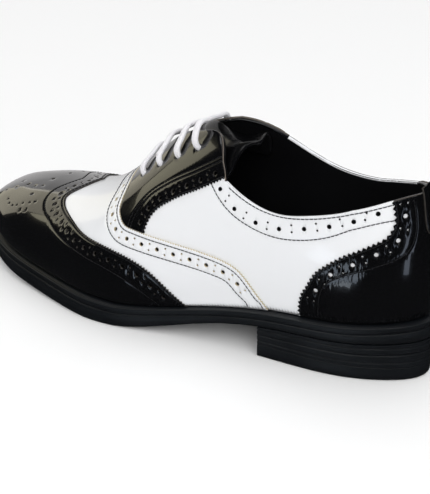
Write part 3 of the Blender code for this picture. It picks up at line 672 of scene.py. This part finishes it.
class Graph:
    def __init__(self, name):
        self.material = bpy.data.materials.new(name)
        self.material.use_nodes = True
        self.tree = self.material.node_tree
        self.shader = self.tree.nodes["Principled BSDF"]

    def put(self, socket, value):
        if isinstance(value, Wire):
            self.tree.links.new(value.socket, socket)
        elif isinstance(value, tuple) and len(value) == 3 and socket.type == "RGBA":
            socket.default_value = (*value, 1)
        else:
            socket.default_value = value

    def node(self, kind, settings=None, sockets=None, output=0):
        made = self.tree.nodes.new(kind)
        for key, value in (settings or {}).items():
            setattr(made, key, value)
        for key, value in (sockets or {}).items():
            self.put(made.inputs[key], value)
        return Wire(self, made.outputs[output])

    def place(self):
        return self.node("ShaderNodeTexCoord", output="Object")

    def noise(self, scale, detail):
        return self.node("ShaderNodeTexNoise", {}, {"Vector": self.place(), "Scale": scale, "Detail": detail})

    def mix(self, factor, first, second):
        return self.node("ShaderNodeMix", {"data_type": "RGBA"}, {0: factor, 6: first, 7: second}, output=2)

    def bump(self, height, strength, distance):
        return self.node("ShaderNodeBump", {}, {"Height": height, "Strength": strength, "Distance": distance})

    def finish(self, **sockets):
        for key, value in sockets.items():
            self.put(self.shader.inputs[key.replace("_", " ")], value)
        return self.material


def patentLeather(name, colour, other, roughness, coat=1.0):
    g = Graph(name)
    cloud = g.noise(9.0, 2.0)
    peel = g.noise(210.0, 2.0) * 0.7 + g.noise(900.0, 1.0) * 0.12
    return g.finish(
        Base_Color=g.mix(cloud.ramp(0.3, 0.7), colour, other), Roughness=cloud * 0.06 + roughness,
        Coat_Weight=coat, Coat_Roughness=0.02, Coat_IOR=1.5, Normal=g.bump(peel, 0.035, 0.0006))


def rawEdge(name, colour, other):
    g = Graph(name)
    fibre = g.noise(1800.0, 3.0)
    return g.finish(Base_Color=g.mix(fibre, colour, other), Roughness=0.8, Normal=g.bump(fibre, 0.4, 0.0002))


def sewingThread(name, colour):
    g = Graph(name)
    fibre = g.noise(2600.0, 2.0)
    return g.finish(
        Base_Color=g.mix(fibre, colour, tuple(c * 0.55 for c in colour)), Roughness=0.55,
        Normal=g.bump(fibre, 0.5, 0.0001))


def grainLeather(name, colour, other, roughness, depth):
    g = Graph(name)
    cell = g.node("ShaderNodeTexVoronoi", {"feature": "F1"}, {"Vector": g.place(), "Scale": 900.0})
    grain = cell * 0.6 + g.noise(1980.0, 2.0) * 0.4
    cloud = g.noise(25.0, 3.0)
    return g.finish(
        Base_Color=g.mix(cloud, colour, other), Roughness=cloud * 0.12 + roughness,
        Normal=g.bump(grain, depth, 0.0002))


def soleRubber(name, colour, other, ribs=0.0):
    g = Graph(name)
    speck = g.noise(1500.0, 3.0)
    cloud = g.noise(40.0, 3.0)
    height = speck * 0.5
    if ribs:
        split = g.node("ShaderNodeSeparateXYZ", {}, {0: g.place()}, output=2)
        wave = (split * (2 * math.pi / ribs) + g.noise(60.0, 2.0) * 1.5).sine()
        height = height + wave * 0.8
    return g.finish(
        Base_Color=g.mix(cloud.ramp(0.3, 0.75), colour, other), Roughness=cloud * 0.12 + 0.36,
        Normal=g.bump(height, 0.22, 0.0002))


def braidedCord(name, colour, other):
    g = Graph(name)
    uv = g.node("ShaderNodeTexCoord", output="UV")
    u = g.node("ShaderNodeSeparateXYZ", {}, {0: uv}, output=0)
    v = g.node("ShaderNodeSeparateXYZ", {}, {0: uv}, output=1)
    weave = (u * 52.0 + v * 75.4).sine() * (u * 52.0 - v * 75.4).sine()
    # painted shade: the colour goes to the darker colour in the weave's low grooves, between the strands
    shade = weave.ramp(-0.9, 0.6)
    return g.finish(
        Base_Color=g.mix(shade, other, colour), Roughness=0.72, Sheen_Weight=0.3,
        Normal=g.bump(weave + g.noise(1500.0, 2.0) * 0.4, 0.35, 0.0003))


blacks = (0.0016, 0.0016, 0.0019), (0.0026, 0.0026, 0.0032)
blackPatent = patentLeather("blackPatent", *blacks, 0.1)
whitePatent = patentLeather("whitePatent", (0.86, 0.868, 0.88), (0.83, 0.842, 0.865), 0.16, coat=0.8)
tonguePatent = patentLeather("tonguePatent", *blacks, 0.2, coat=0.3)
beigeEdge = rawEdge("beigeEdge", (0.62, 0.55, 0.38), (0.42, 0.35, 0.22))
darkEdge = rawEdge("darkEdge", (0.02, 0.018, 0.017), (0.055, 0.047, 0.04))
taupeEdge = rawEdge("taupeEdge", (0.2, 0.165, 0.135), (0.11, 0.09, 0.075))
darkThread = sewingThread("darkThread", (0.035, 0.037, 0.045))
blackThread = sewingThread("blackThread", (0.01, 0.01, 0.012))
liningLeather = grainLeather("liningLeather", (0.0045, 0.0045, 0.005), (0.008, 0.008, 0.009), 0.34, 0.1)
sockLeather = grainLeather("sockLeather", (0.01, 0.01, 0.01), (0.016, 0.015, 0.015), 0.55, 0.3)
rubber = soleRubber("soleRubber", (0.005, 0.006, 0.0075), (0.008, 0.0095, 0.0115))
ribbedRubber = soleRubber("ribbedRubber", (0.005, 0.006, 0.0075), (0.0085, 0.01, 0.012), ribs=0.0008)
# the darker lace colour is painted shade, laid in the braid's grooves
laceCotton = braidedCord("laceCotton", (0.93, 0.92, 0.94), (0.76, 0.75, 0.79))
print("materials ready")

# cut lines
toplineNear = levelled(eased(drawn("toplineNear", -1), 0.014), collarDip["drop"])
toplineFar = levelled(eased(drawn("toplineFar", 1), 0.014))
facingRear = drawn("facingRear", -1)
throatNear, throatFar = drawn("throatNear", -1), drawn("throatFar", 1)
opening = np.concatenate([
    toplineNear, facingRear[1:], throatNear[1:], throatFar[::-1], toplineFar[::-1][1:-1]])
vampLine = across("vampEdge")
capLine = across("capEdge")
capSeam = across("capSeam")
far = last["length"]


def toeSide(line):
    ahead = np.array([(line[0, 0], -far), (-far, -far), (-far, far), (line[-1, 0], far)])
    return np.concatenate([line, ahead[::-1]])


def heelSide(line):
    behind = np.array([(line[0, 0], -far), (far, -far), (far, far), (line[-1, 0], far)])
    return np.concatenate([line, behind[::-1]])


brogue = {"bigHole": 0.00112, "smallHole": 0.00052, "bigSides": 14, "smallSides": 10}


def punched(rows):
    big = np.concatenate([row[0] for row in rows])
    small = np.concatenate([row[1] for row in rows])
    return [(big, brogue["bigHole"], brogue["bigSides"]), (small, brogue["smallHole"], brogue["smallSides"])]


# quarters
quarterPlan = {
    "lap": 0.004, "seamTop": 0.0015, "seamLow": 0.0115, "holes": 0.0067, "spacing": 0.0127, "pair": 0.0017,
    "first": 0.006, "rest": 0.003, "from": 0.07, "topEnds": (0.345, 0.318), "lowEnd": 0.346, "holesEnd": 0.33}
vampUnder = sideStep(vampLine, quarterPlan["lap"], ease=0.006)
sewnTop = [
    levelled(inPlan(sideStep(line, -side * quarterPlan["seamTop"], ease=0.008), quarterPlan["from"], end))
    for side, line, end in zip((-1, 1), (toplineNear, toplineFar), quarterPlan["topEnds"])]
sewnLow = [
    levelled(eased(drawn("collarSeam", -1), 0.02), collarDip["drop"]),
    inPlan(
        sideStep(toplineFar, -quarterPlan["seamLow"], ease=0.01), quarterPlan["from"], quarterPlan["lowEnd"])]
nearBig = plan(*zip(*cutLines["collarHoles"]), -1)
halfway = (nearBig[1:] + nearBig[:-1]) / 2
nearSmall = np.concatenate([sideStep(halfway, way * quarterPlan["pair"]) for way in (1, -1)])
farMiddle = sideStep(toplineFar, -quarterPlan["holes"], ease=0.01)
farMiddle = inPlan(farMiddle, quarterPlan["from"], quarterPlan["holesEnd"])
print("collar lines ready")

# eyestays
eyestayPlan = {
    "seams": (0.0092, 0.0113), "edgeSeam": 0.0013, "holes": 0.0046, "spacing": 0.0089, "lap": 0.0022,
    "pitch": 0.0022, "depth": 0.0011, "first": 0.007, "pair": 0.0014, "eyelet": 0.0019}


def overThroat(edge, end, side):  # closes a facing's lower edge over the throat
    return np.concatenate([edge, plan([shareAt(end), 0.64, 0.64], [0.99, 0.99, 0.24], side)])


eyestays, stayCuts = {}, []
for side, name in ((-1, "eyestayNear"), (1, "eyestayFar")):
    low = drawn(name, side)
    teeth = pinked(low, eyestayPlan, -side)
    seams = [sideStep(low, -side * away, ease=0.006) for away in eyestayPlan["seams"]]
    seams.append(sideStep(low, -side * eyestayPlan["edgeSeam"], ease=0.004))
    middle = sideStep(low, -side * eyestayPlan["holes"], ease=0.006)
    eyestays[side] = {"loop": overThroat(teeth, low[-1, 0], side), "seams": seams, "middle": middle}
    under = sideStep(low, -side * eyestayPlan["lap"], ease=0.006)
    stayCuts.append(overThroat(under, under[-1, 0], side))
print("cut lines ready")


def clip(line, loop, cuts=()):  # the longest run of a line inside a loop and outside the cuts
    ok = uncovered(line, loop, cuts) & (foot(line)[3] < leather["seamEnd"])
    best, run = (0, 0), 0
    for i, good in enumerate([*ok, False]):
        if good:
            run += 1
        else:
            if run > best[1] - best[0]:
                best = (i - run, i)
            run = 0
    return line[best[0]:best[1]]


toeOfVamp, toeOfCap = toeSide(vampLine), toeSide(capLine)
quarterCut = heelSide(vampUnder)
quarterSeams = [line for pair in zip(sewnTop, sewnLow) for line in pair]
quarterHoles = punched([(nearBig, nearSmall), brogueRow(farMiddle, quarterPlan)])
counterPlan = {
    "pitch": 0.0028, "depth": 0.0013, "lap": 0.002, "seam": 0.0017, "holes": 0.0054, "spacing": 0.0121,
    "first": 0.0075, "pair": 0.0018}
counterNear, counterFar = drawn("counterEdge", -1), drawn("counterEdge", 1)
counterLoop = heelSide(np.concatenate([
    pinked(counterNear, counterPlan, -1), pinked(counterFar, counterPlan, 1)[::-1]]))
counterCore = heelSide(np.concatenate([
    sideStep(counterNear, -counterPlan["lap"]), sideStep(counterFar, counterPlan["lap"])[::-1]]))


def keepHoles(holes, loop, cuts=(), room=0.002):
    kept = []
    for centres, radius, sides in holes:
        ok = uncovered(centres, loop, cuts) & (foot(centres)[3] < leather["holeEdge"])
        if ok.any():
            ok &= gapTo(lineTree((loop, *cuts), leather["holeStep"], True), surface(centres)) > room
        kept.append((centres[ok], radius, sides))
    return kept


stayLoops = [eyestays[side]["loop"] for side in (-1, 1)]
quarterHoles = keepHoles(quarterHoles, quarterCut, [opening, counterCore, *stayLoops])
quarterSeams = [clip(line, quarterCut, [opening, *stayLoops]) for line in quarterSeams]
panel("quarters", quarterCut, [whitePatent, darkEdge], ["upper"], layers["quarter"], -0.0014,
      cuts=[opening, *stayCuts], holes=quarterHoles, seams=quarterSeams)

# lining
lining = np.array([(-far, -far), (far, -far), (far, far), (-far, far)])
panel("lining", lining, [liningLeather], ["upper"], layers["lining"], layers["lining"] + 0.0008,
      cuts=[opening], inwards=True)

# vamp
vampPlan = {
    "seamEdge": 0.0021, "seamIn": 0.0098, "holes": 0.0058, "spacing": 0.0095, "first": 0.0078, "pair": 0.0017,
    "pitch": 0.0018, "depth": 0.0007, "lap": 0.0034}
vampLoop = toeSide(pinked(vampLine, vampPlan, 1))
capUnder = toeSide(sideStep(capLine, vampPlan["lap"], ease=0.006))
vampSeams = [
    sideStep(vampLine, vampPlan["seamEdge"], ease=0.006), sideStep(vampLine, vampPlan["seamIn"], ease=0.008)]
vampMiddle = sideStep(vampLine, vampPlan["holes"], ease=0.008)
vampMiddle = vampMiddle[foot(vampMiddle)[3] <= 1]
vampHoles = keepHoles(punched([brogueRow(vampMiddle, vampPlan)]), toeOfVamp, [opening, toeOfCap])
vampSeams = [clip(line, toeOfVamp, [opening, toeOfCap]) for line in vampSeams]
panel("vampLeather", vampLoop, [whitePatent, beigeEdge], ["vamp"], layers["vamp"], -0.0007,
      cuts=[opening, capUnder], holes=vampHoles, seams=vampSeams)

# wing cap
capPlan = {
    "seamEdge": 0.0017, "holes": 0.0062, "spacing": 0.0092, "first": 0.006, "pair": 0.0019, "pitch": 0.0022,
    "depth": 0.001, "fade": 0.46, "under": 0.0003}
capLoop = toeSide(pinked(capLine, capPlan, 1))
capRow = brogueRow(sideStep(capLine, capPlan["holes"], ease=0.008), capPlan)
capSeams = [
    clip(line, toeOfCap) for line in (sideStep(capLine, capPlan["seamEdge"], ease=0.005), capSeam)]
medallion = {  # millimetres on the last's plan, from the toe's middle line outwards on the near side
    "axis": ((-90.0, 4.9), (-0.964, 0.265)), "bigRadius": 0.001, "smallRadius": 0.00055,
    "big": [(-94.7, 2.2), (-103.7, -2.6), (-95.7, -9.0), (-95.9, -17.4), (-92.4, -17.3)],
    "small": [
        (-108.6, -11.4), (-106.0, -13.6), (-102.6, -15.0), (-99.6, -14.9), (-96.5, -14.0), (-92.8, -13.6),
        (-89.5, -13.0), (-109.7, -4.3), (-98.6, -4.0), (-94.7, -3.6), (-110.3, 0.3), (-115.2, -5.7)]}


def mirrored(points):
    start, way = (np.array(v) for v in medallion["axis"])
    points = np.array(points)
    along = ((points - start) @ way)[:, None] * way
    return np.concatenate([points, 2 * (start + along) - points]) / 1000


capBig, capSmall = mirrored(medallion["big"]), mirrored(medallion["small"])
capHoles = keepHoles(punched([capRow]), toeOfCap) + [
    (capBig, medallion["bigRadius"], 12), (capSmall, medallion["smallRadius"], 10)]
panel("wingCap", capLoop, [blackPatent, darkEdge], ["wing_cap"], layers["cap"],
      capPlan["under"], holes=capHoles, seams=capSeams)

# heel counter
counterSeams, counterRows = [], []
for side, line in ((-1, counterNear), (1, counterFar)):
    edgeSeam = sideStep(line, side * counterPlan["seam"], ease=0.006)
    for seam in (eased(drawn("counterSeam", side), 0.02), edgeSeam):
        counterSeams.append(clip(seam, counterLoop, [opening]))
    middle = sideStep(line, side * counterPlan["holes"], ease=0.008)
    counterRows.append(brogueRow(middle, counterPlan))
counterHoles = keepHoles(punched(counterRows), counterLoop, [opening])
panel("heelCounter", counterLoop, [blackPatent, darkEdge], ["heel_counter"], layers["overlay"],
      -0.0007, cuts=[opening], holes=counterHoles, seams=counterSeams)

# eyestays
for side, name, node in ((-1, "eyestayNear", "eyestay_near"), (1, "eyestayFar", "eyestay_far")):
    stay = eyestays[side]
    cuts = [opening, toeOfVamp]
    holes = keepHoles(punched([brogueRow(stay["middle"], eyestayPlan)]), stay["loop"], cuts, 0.0016)
    holes.append((plan(*zip(*eyeletPlaces), side), eyestayPlan["eyelet"], 18))
    stay["sewn"] = [clip(line, stay["loop"], cuts) for line in stay["seams"]]
    panel(name, stay["loop"], [blackPatent, darkEdge], [node], layers["overlay"], -0.001,
          cuts=cuts, holes=holes, seams=stay["sewn"])

# back tab
tab = {side: drawn("backTab", side) for side in (-1, 1)}
tabLoop = np.concatenate([tab[-1], tab[1][::-1]])
panel("backTab", tabLoop, [blackPatent, darkEdge], ["back_tab"], layers["tab"], 0.0)

# tongue
tongueFree = {"from": 0.455, "run": 0.085, "drop": 0.0175, "side": 0.45, "round": 0.001}


def tonguePlace(q, offset):
    point, normal = skin(q, offset)
    up = 1 - foot(q)[3]
    back = smooth((tongueFree["from"] - shareAt(q[..., 0])) / tongueFree["run"])
    point[..., 2] -= tongueFree["drop"] * back * smooth((up - tongueFree["side"]) / (0.99 - tongueFree["side"]))
    return point, normal


tongueSide = {side: drawn("tongueEdge", side) for side in (-1, 1)}
tongueLoop = np.concatenate([tongueSide[-1], tongueSide[1][::-1]])
panel("tongueLeather", tongueLoop, [tonguePatent], ["tongue"], layers["tongueTop"], -0.005,
      place=tonguePlace, rounded=tongueFree["round"])
panel("tongueLining", tongueLoop, [liningLeather], ["tongue"], layers["tongueBase"], -0.005,
      inwards=True, place=tonguePlace, rounded=tongueFree["round"])

# stitching
threadSink = 0.0001
whiteRuns = [(line, layers["quarter"] - threadSink) for line in quarterSeams]
whiteRuns += [(line, layers["vamp"] - threadSink) for line in vampSeams]
stitches("darkStitching", whiteRuns, darkThread)
blackRuns = [(line, layers["cap"] - threadSink) for line in capSeams]
blackRuns += [
    (line, layers["overlay"] - threadSink)
    for line in (*counterSeams, *eyestays[-1]["sewn"], *eyestays[1]["sewn"])]
stitches("blackStitching", blackRuns, blackThread)

# top line roll, white on the quarters and black on the heel and the facings
rollSize = {"height": 0.0014, "width": 0.0021, "centre": -0.00155, "lift": -0.0006}
edgeSize = {"height": 0.0007, "width": 0.0006, "centre": -0.0004, "lift": -0.0003}
rollEnds = {  # shares of the length
    "heel": 0.0885, "quarter": 0.088, "near": 0.349, "far": 0.319, "facing": 0.317}


def roll(name, line, material, size=rollSize):
    even = evenly(line, 0.001)
    middle, out = skin(even, np.full(len(even), size["centre"]))
    middle[:, 2] += size["lift"]
    sweep(name, middle, out, ellipse(size["height"], size["width"], 10), material, ["upper"])


blackRolls = {
    "Heel": np.concatenate([
        inPlan(toplineNear, 0, rollEnds["heel"])[::-1], inPlan(toplineFar, 0, rollEnds["heel"])[1:]]),
    "FacingNear": np.concatenate([facingRear, throatNear[1:]]),
    "FacingFar": np.concatenate([inPlan(toplineFar, rollEnds["facing"], 1), throatFar[1:]])}
for name, line, end in (("Near", toplineNear, rollEnds["near"]), ("Far", toplineFar, rollEnds["far"])):
    roll("roll" + name, inPlan(line, rollEnds["quarter"], end), whitePatent)
for name, line in blackRolls.items():
    roll("roll" + name, line, blackPatent)
for name, line in blackRolls.items():
    roll("edge" + name, line, taupeEdge, edgeSize)
print("rolled edges ready")

# laces
laceSize = {
    "width": 0.0038, "thick": 0.0026, "lifts": (0.0022, 0.0028, 0.0027, 0.005), "farLift": 0.0018,
    "arch": 0.0008, "skew": 0.012, "under": (-0.004, -0.002, 0.014), "sunk": (-0.005, -0.0012), "sides": 18,
    "rings": 90}
laceLengths = []
for index, (along, up) in enumerate(eyeletPlaces, 1):
    lift = laceSize["lifts"][index - 1]
    ends = []
    for side, throat, high in ((-1, "throatNear", lift), (1, "throatFar", laceSize["farLift"])):
        place = along + (laceSize["skew"] if side > 0 else 0)
        edge = float(np.interp(place, *zip(*cutLines[throat])))
        ups = [*(up + step for step in laceSize["under"]), up + (edge - up) * 0.55, edge]
        heights = np.array([*laceSize["sunk"], high * 0.62, high, high + 0.0003])
        ends.append(skin(plan(np.full(5, place), ups, side), heights))
    mid = np.linspace(0, 1, 5)[1:-1, None]
    bridge = ends[0][0][-1] + (ends[1][0][-1] - ends[0][0][-1]) * mid
    bridge[:, 2] += 4 * laceSize["arch"] * (mid * (1 - mid))[:, 0]
    outs = unit(ends[0][1][-1] + (ends[1][1][-1] - ends[0][1][-1]) * mid)
    knots = np.concatenate([ends[0][0], bridge, ends[1][0][::-1]])
    ways = np.concatenate([ends[0][1], outs, ends[1][1][::-1]])
    s = lengths(knots)
    fine = np.linspace(0, s[-1], laceSize["rings"])
    profile = ellipse(laceSize["width"], laceSize["thick"], laceSize["sides"], 0.8)
    laceLengths.append(round(float(s[-1]) * 1000, 1))
    sweep(f"lace{index}", spline(s, knots)(fine), sampled(fine, s, ways), profile, laceCotton,
          [f"lace_bar_{index}"])
print("laces ready, in millimetres:", laceLengths)

# sole, welt and heel
sole = {
    "stations": 720, "weltThick": 0.0032, "edgeGroove": 0.0006, "edgeRound": 0.0008, "heelLength": 0.08,
    "topPiece": 0.0072, "heelTaper": 0.0006, "heelGroove": 0.0006, "weltSeat": 0.0032, "grooveHalf": 0.028,
    "grooves": (0.84, 0.54, 0.2), "ribStep": 0.22 / 13.0, "ribDepth": 0.00007, "ribWaves": 90,
    "sockClear": 0.0009, "sockRise": 0.0022, "sockStations": 500, "capStep": 0.004, "heelArc": 260,
    "heelFlat": 24}


def movedFeather(distance, count=sole["stations"]):
    curve = featherCurve(count)
    ahead = np.roll(curve, -1, axis=0) - np.roll(curve, 1, axis=0)
    out = unit(np.stack([ahead[:, 1], -ahead[:, 0]], -1))
    return curve + out * distance(curve[:, 0])[:, None]


def edgeLoop(inset):
    return movedFeather(lambda x: margin(x) - inset)


def capOver(loop):
    step = sole["capStep"]
    low, high = loop.min(0), loop.max(0)
    xs, ys = np.arange(low[0], high[0], step), np.arange(low[1], high[1], step)
    grid = np.stack(np.meshgrid(xs, ys), -1).reshape(-1, 2)
    grid = grid[within(loop, grid)]
    tree = treeOf(np.column_stack([loop, np.zeros(len(loop))]))
    grid = grid[gapTo(tree, np.column_stack([grid, np.zeros(len(grid))])) > step * 0.5]
    edges = [(i, (i + 1) % len(loop)) for i in range(len(loop))]
    flat, faces = triangles([*loop, *grid], edges, 1e-6)
    return flat, faces[within(loop, flat[faces].mean(1))].tolist()


def stacked(name, loops, heights, material, nodes, capped=True):
    count = len(loops[0])
    points, faces = [], []
    for loop, height in zip(loops, heights):
        points += np.column_stack([loop, height(loop[:, 0])]).tolist()
    for level in range(len(loops) - 1):
        for i in range(count):
            a, b = level * count + i, level * count + (i + 1) % count
            faces.append((b, a, a + count, b + count))
    for level, turn in ((0, 1), (len(loops) - 1, -1)) if capped else ():
        flat, tris = capOver(loops[level])
        start = len(points)
        more = flat[count:]
        points += np.column_stack([more, heights[level](more[:, 0])]).tolist()
        for f in tris:
            f = [level * count + i if i < count else start + i - count for i in f]
            faces.append(f[::turn])
    makePiece(name, points, faces, [material], nodes, angle=40)


def blend(low, high, share):
    return lambda x: high(x) + (low(x) - high(x)) * share


outsoleTop = lambda x: soleTop(x) - sole["weltThick"] - last["gap"]
rows = [  # share of the way down, groove, round
    (0.0, 1.0, 0), (0.07, 1.0, 0), (0.11, 0.3, 0), (0.15, 0.0, 0), (0.5, -0.1, 0), (0.86, 0.0, 0),
    (0.94, 0.0, 0.3), (1.0, 0.0, 1.0)]
loops = [edgeLoop(g * sole["edgeGroove"] + r * sole["edgeRound"]) for d, g, r in rows]
stacked("outsoleRubber", loops, [blend(soleBottom, outsoleTop, d) for d, g, r in rows], rubber, ["outsole"])
weltRows = [(0.0, 1.0), (0.05, 0.35), (0.16, 0.0), (0.6, 0.0), (0.9, 0.0), (1.0, 0.35)]  # way down, round
weltLine = [(0.0021, 0.0), (0.0016, 0.00035), (0.0011, 0.0)]  # inset from the edge, depth
weltLow = lambda x: soleTop(x) - sole["weltThick"]
inner = movedFeather(lambda x: 0 * x - sole["weltSeat"])
loops, heights = [inner], [soleTop]
for away, deep in weltLine:
    loops.append(edgeLoop(away))
    heights.append(lambda x, deep=deep: soleTop(x) - deep)
for d, r in weltRows:
    loops.append(edgeLoop(r * sole["edgeRound"]))
    heights.append(blend(weltLow, soleTop, d))
stacked("weltStrip", [*loops, inner], [*heights, weltLow], rubber, ["welt"], capped=False)


def heelLoop(inset):
    loop = edgeLoop(inset)
    breast = float(xAt(0)) - sole["heelLength"]
    kept = loop[loop[:, 0] > breast + 0.0004]
    kept = kept[np.argsort(np.arctan2(kept[:, 1], kept[:, 0] - breast))]
    sides = []
    for side in (-1, 1):
        half = loop[loop[:, 1] * side > 0]
        half = half[np.argsort(half[:, 0])]
        sides.append((breast, float(np.interp(breast, half[:, 0], half[:, 1]))))
    curve = np.concatenate([[sides[0]], kept, [sides[1]]])
    s = lengths(curve)
    line = np.linspace(sides[1], sides[0], sole["heelFlat"] + 2)[1:-1]
    return np.concatenate([sampled(np.linspace(0, s[-1], sole["heelArc"]), s, curve), line])


heelRows = [(1.0, 0.0)]
for middle in sole["grooves"]:
    for step, cut in ((2.0, 0.0), (1.2, 0.5), (0.6, 1.0), (-0.6, 1.0), (-1.2, 0.5), (-2.0, 0.0)):
        heelRows.append((middle + step * sole["grooveHalf"], cut))
heelRows.append((0.0, 0.0))
heelLow = lambda x: sole["topPiece"] + last["gap"] + 0 * x
heelHigh = lambda x: soleBottom(x) - last["gap"]
ribRows = []
for (u0, c0), (u1, c1) in zip(heelRows[:-1], heelRows[1:]):
    count = max(1, int(abs(u0 - u1) / sole["ribStep"]))
    for k in range(count):
        t = k / count
        ribRows.append((u0 + (u1 - u0) * t, c0 + (c1 - c0) * t))
ribRows.append(heelRows[-1])
loops = []
for u, c in ribRows:
    rib = sole["ribDepth"] * (1 + math.sin(u * sole["ribWaves"]))
    loops.append(heelLoop(sole["heelTaper"] * (1 - u) + sole["heelGroove"] * c + rib))
heights = [blend(heelLow, heelHigh, 1 - u) for u, c in ribRows]
stacked("heelBlock", loops, heights, ribbedRubber, ["heel_block"])
topRows = [(1.0, 0.25), (0.97, 0.0), (0.5, 0.0), (0.15, 0.0), (0.05, 0.4), (0.0, 1.0)]
loops = [heelLoop(sole["heelTaper"] + r * sole["edgeRound"]) for u, r in topRows]
heights = [lambda x, u=u: sole["topPiece"] * u + 0 * x for u, r in topRows]
stacked("heelTopPiece", loops, heights, rubber, ["heel_top_piece"])

# sock
sockRows = [(0.0, 0.0012), (0.0006, 0.0003), (0.0022, 0.0), (0.0054, 0.0)]  # drop, inset
loops = [
    movedFeather(lambda x, r=r: 0 * x - sole["weltSeat"] - sole["sockClear"] - r, sole["sockStations"])
    for d, r in sockRows]
heights = [lambda x, d=d: soleTop(x) + sole["sockRise"] - d for d, r in sockRows]
stacked("sock", loops, heights, sockLeather, ["insole"])
print("sole ready")

# floor, lights and camera
def stagePiece(name, unseen, **finish):  # the shape just added, hidden from some rays
    made = bpy.context.object
    made.name = name
    made.data.materials.append(Graph(name).finish(**finish))
    for ray in unseen:
        setattr(made, "visible_" + ray, False)


bpy.ops.mesh.primitive_plane_add(size=17, location=(0, 0, -0.0001))
stagePiece("studioFloor", ["glossy"], Base_Color=(0.93, 0.93, 0.93), Roughness=0.9)
bpy.ops.mesh.primitive_uv_sphere_add(radius=9)
stagePiece("studioWall", ["diffuse", "glossy", "shadow"], Base_Color=(0, 0, 0), Emission_Color=(1, 1, 1),
           Emission_Strength=1.0)

world = bpy.data.worlds.new("studio")
world.use_nodes = True
world.node_tree.nodes["Background"].inputs[0].default_value = (0.9, 0.95, 1.0, 1)
world.node_tree.nodes["Background"].inputs[1].default_value = 0.02
bpy.context.scene.world = world


def addLight(name, kind, energy, colour, place, aim, size, glossy=True, diffuse=True, turn=0.0):
    data = bpy.data.lights.new(name, kind)
    data.energy = energy
    data.color = colour
    if kind == "AREA":
        data.shape = "RECTANGLE"
        data.size, data.size_y = size
    else:
        data.angle = math.radians(size)
    lamp = bpy.data.objects.new(name, data)
    lamp.location = place
    lamp.rotation_mode = "QUATERNION"
    way = Vector(aim) - Vector(place)
    lamp.rotation_quaternion = Quaternion(way, math.radians(turn)) @ way.to_track_quat("-Z", "Y")
    lamp.visible_glossy = glossy
    lamp.visible_diffuse = diffuse
    bpy.context.collection.objects.link(lamp)


def addCard(name, aim, azimuth, height, away, spread, rise, bright, colour, turn=0.0):
    # a softbox that only shows in the gloss: its direction and size from aim, in degrees
    a, e = math.radians(azimuth), math.radians(height)
    way = Vector((math.cos(a) * math.cos(e), math.sin(a) * math.cos(e), math.sin(e)))
    size = [2 * away * math.tan(math.radians(d / 2)) for d in (spread, rise)]
    energy = bright * math.pi * size[0] * size[1]
    addLight(name, "AREA", energy, colour, Vector(aim) + way * away, aim, size, diffuse=False, turn=turn)


addLight("skySoft", "SUN", 3.0, (1.0, 1.0, 1.0), (0.2, -0.3, 2.0), (0, 0, 0), 120.0, glossy=False)
addLight("frontSoft", "AREA", 9.0, (1.0, 1.0, 1.0), (0.9, -1.1, 0.9), (0, 0, 0.05), (1.6, 1.2), glossy=False)
middle, counterSide, facingSide = (-0.03, 0, 0.06), (0.11, -0.03, 0.045), (0.02, -0.03, 0.09)
cards = {  # aim, azimuth, height, distance, width, height of the card, brightness, colour, turn
    "toeCard": (middle, 169, 20, 2.0, 28, 30, 0.95, (1.0, 0.93, 0.74)),
    "facingCard": (facingSide, -163, 24, 0.35, 26, 18, 1.35, (1.0, 0.94, 0.7)),
    "paleCard": (middle, 124, 2, 2.0, 62, 66, 0.5, (1.0, 0.98, 0.98)),
    "windowCard": (counterSide, -88, -19, 1.5, 30, 7, 1.6, (0.72, 0.84, 1.0), 21),
    "windowSill": (counterSide, -85, -26.5, 1.5, 12, 3, 2.0, (0.8, 0.9, 1.0), 18),
    "doorCard": (counterSide, -33, -9, 1.5, 5, 26, 1.3, (0.72, 0.82, 1.0)),
    "topCard": (middle, -90, 68, 2.0, 60, 24, 1.2, (1.0, 1.0, 1.0)),
    "backCard": (middle, 75, 55, 2.0, 40, 20, 1.2, (1.0, 1.0, 1.0))}
for name, card in cards.items():
    addCard(name, *card)

cameraView = {
    "place": (0.26321, -0.36037, 0.25137), "yaw": 33.77, "pitch": 26.36, "roll": -0.3, "focalPixels": 876.14,
    "heightPixels": 494, "sensor": 36}
a, p, r = (math.radians(cameraView[k]) for k in ("yaw", "pitch", "roll"))
ahead = Vector((-math.sin(a) * math.cos(p), math.cos(a) * math.cos(p), -math.sin(p)))
right = Vector((math.cos(a), math.sin(a), 0))
upward = right.cross(ahead)
sideways = right * math.cos(r) + upward * math.sin(r)
upright = upward * math.cos(r) - right * math.sin(r)
cameraData = bpy.data.cameras.new("camera")
cameraData.lens = cameraView["focalPixels"] / cameraView["heightPixels"] * cameraView["sensor"]
cameraData.clip_start = 0.01
camera = bpy.data.objects.new("camera", cameraData)
turned = Matrix((sideways, upright, -ahead)).transposed().to_4x4()
camera.matrix_world = Matrix.Translation(cameraView["place"]) @ turned
bpy.context.collection.objects.link(camera)
bpy.context.scene.camera = camera
bpy.context.scene.view_settings.view_transform = "Standard"
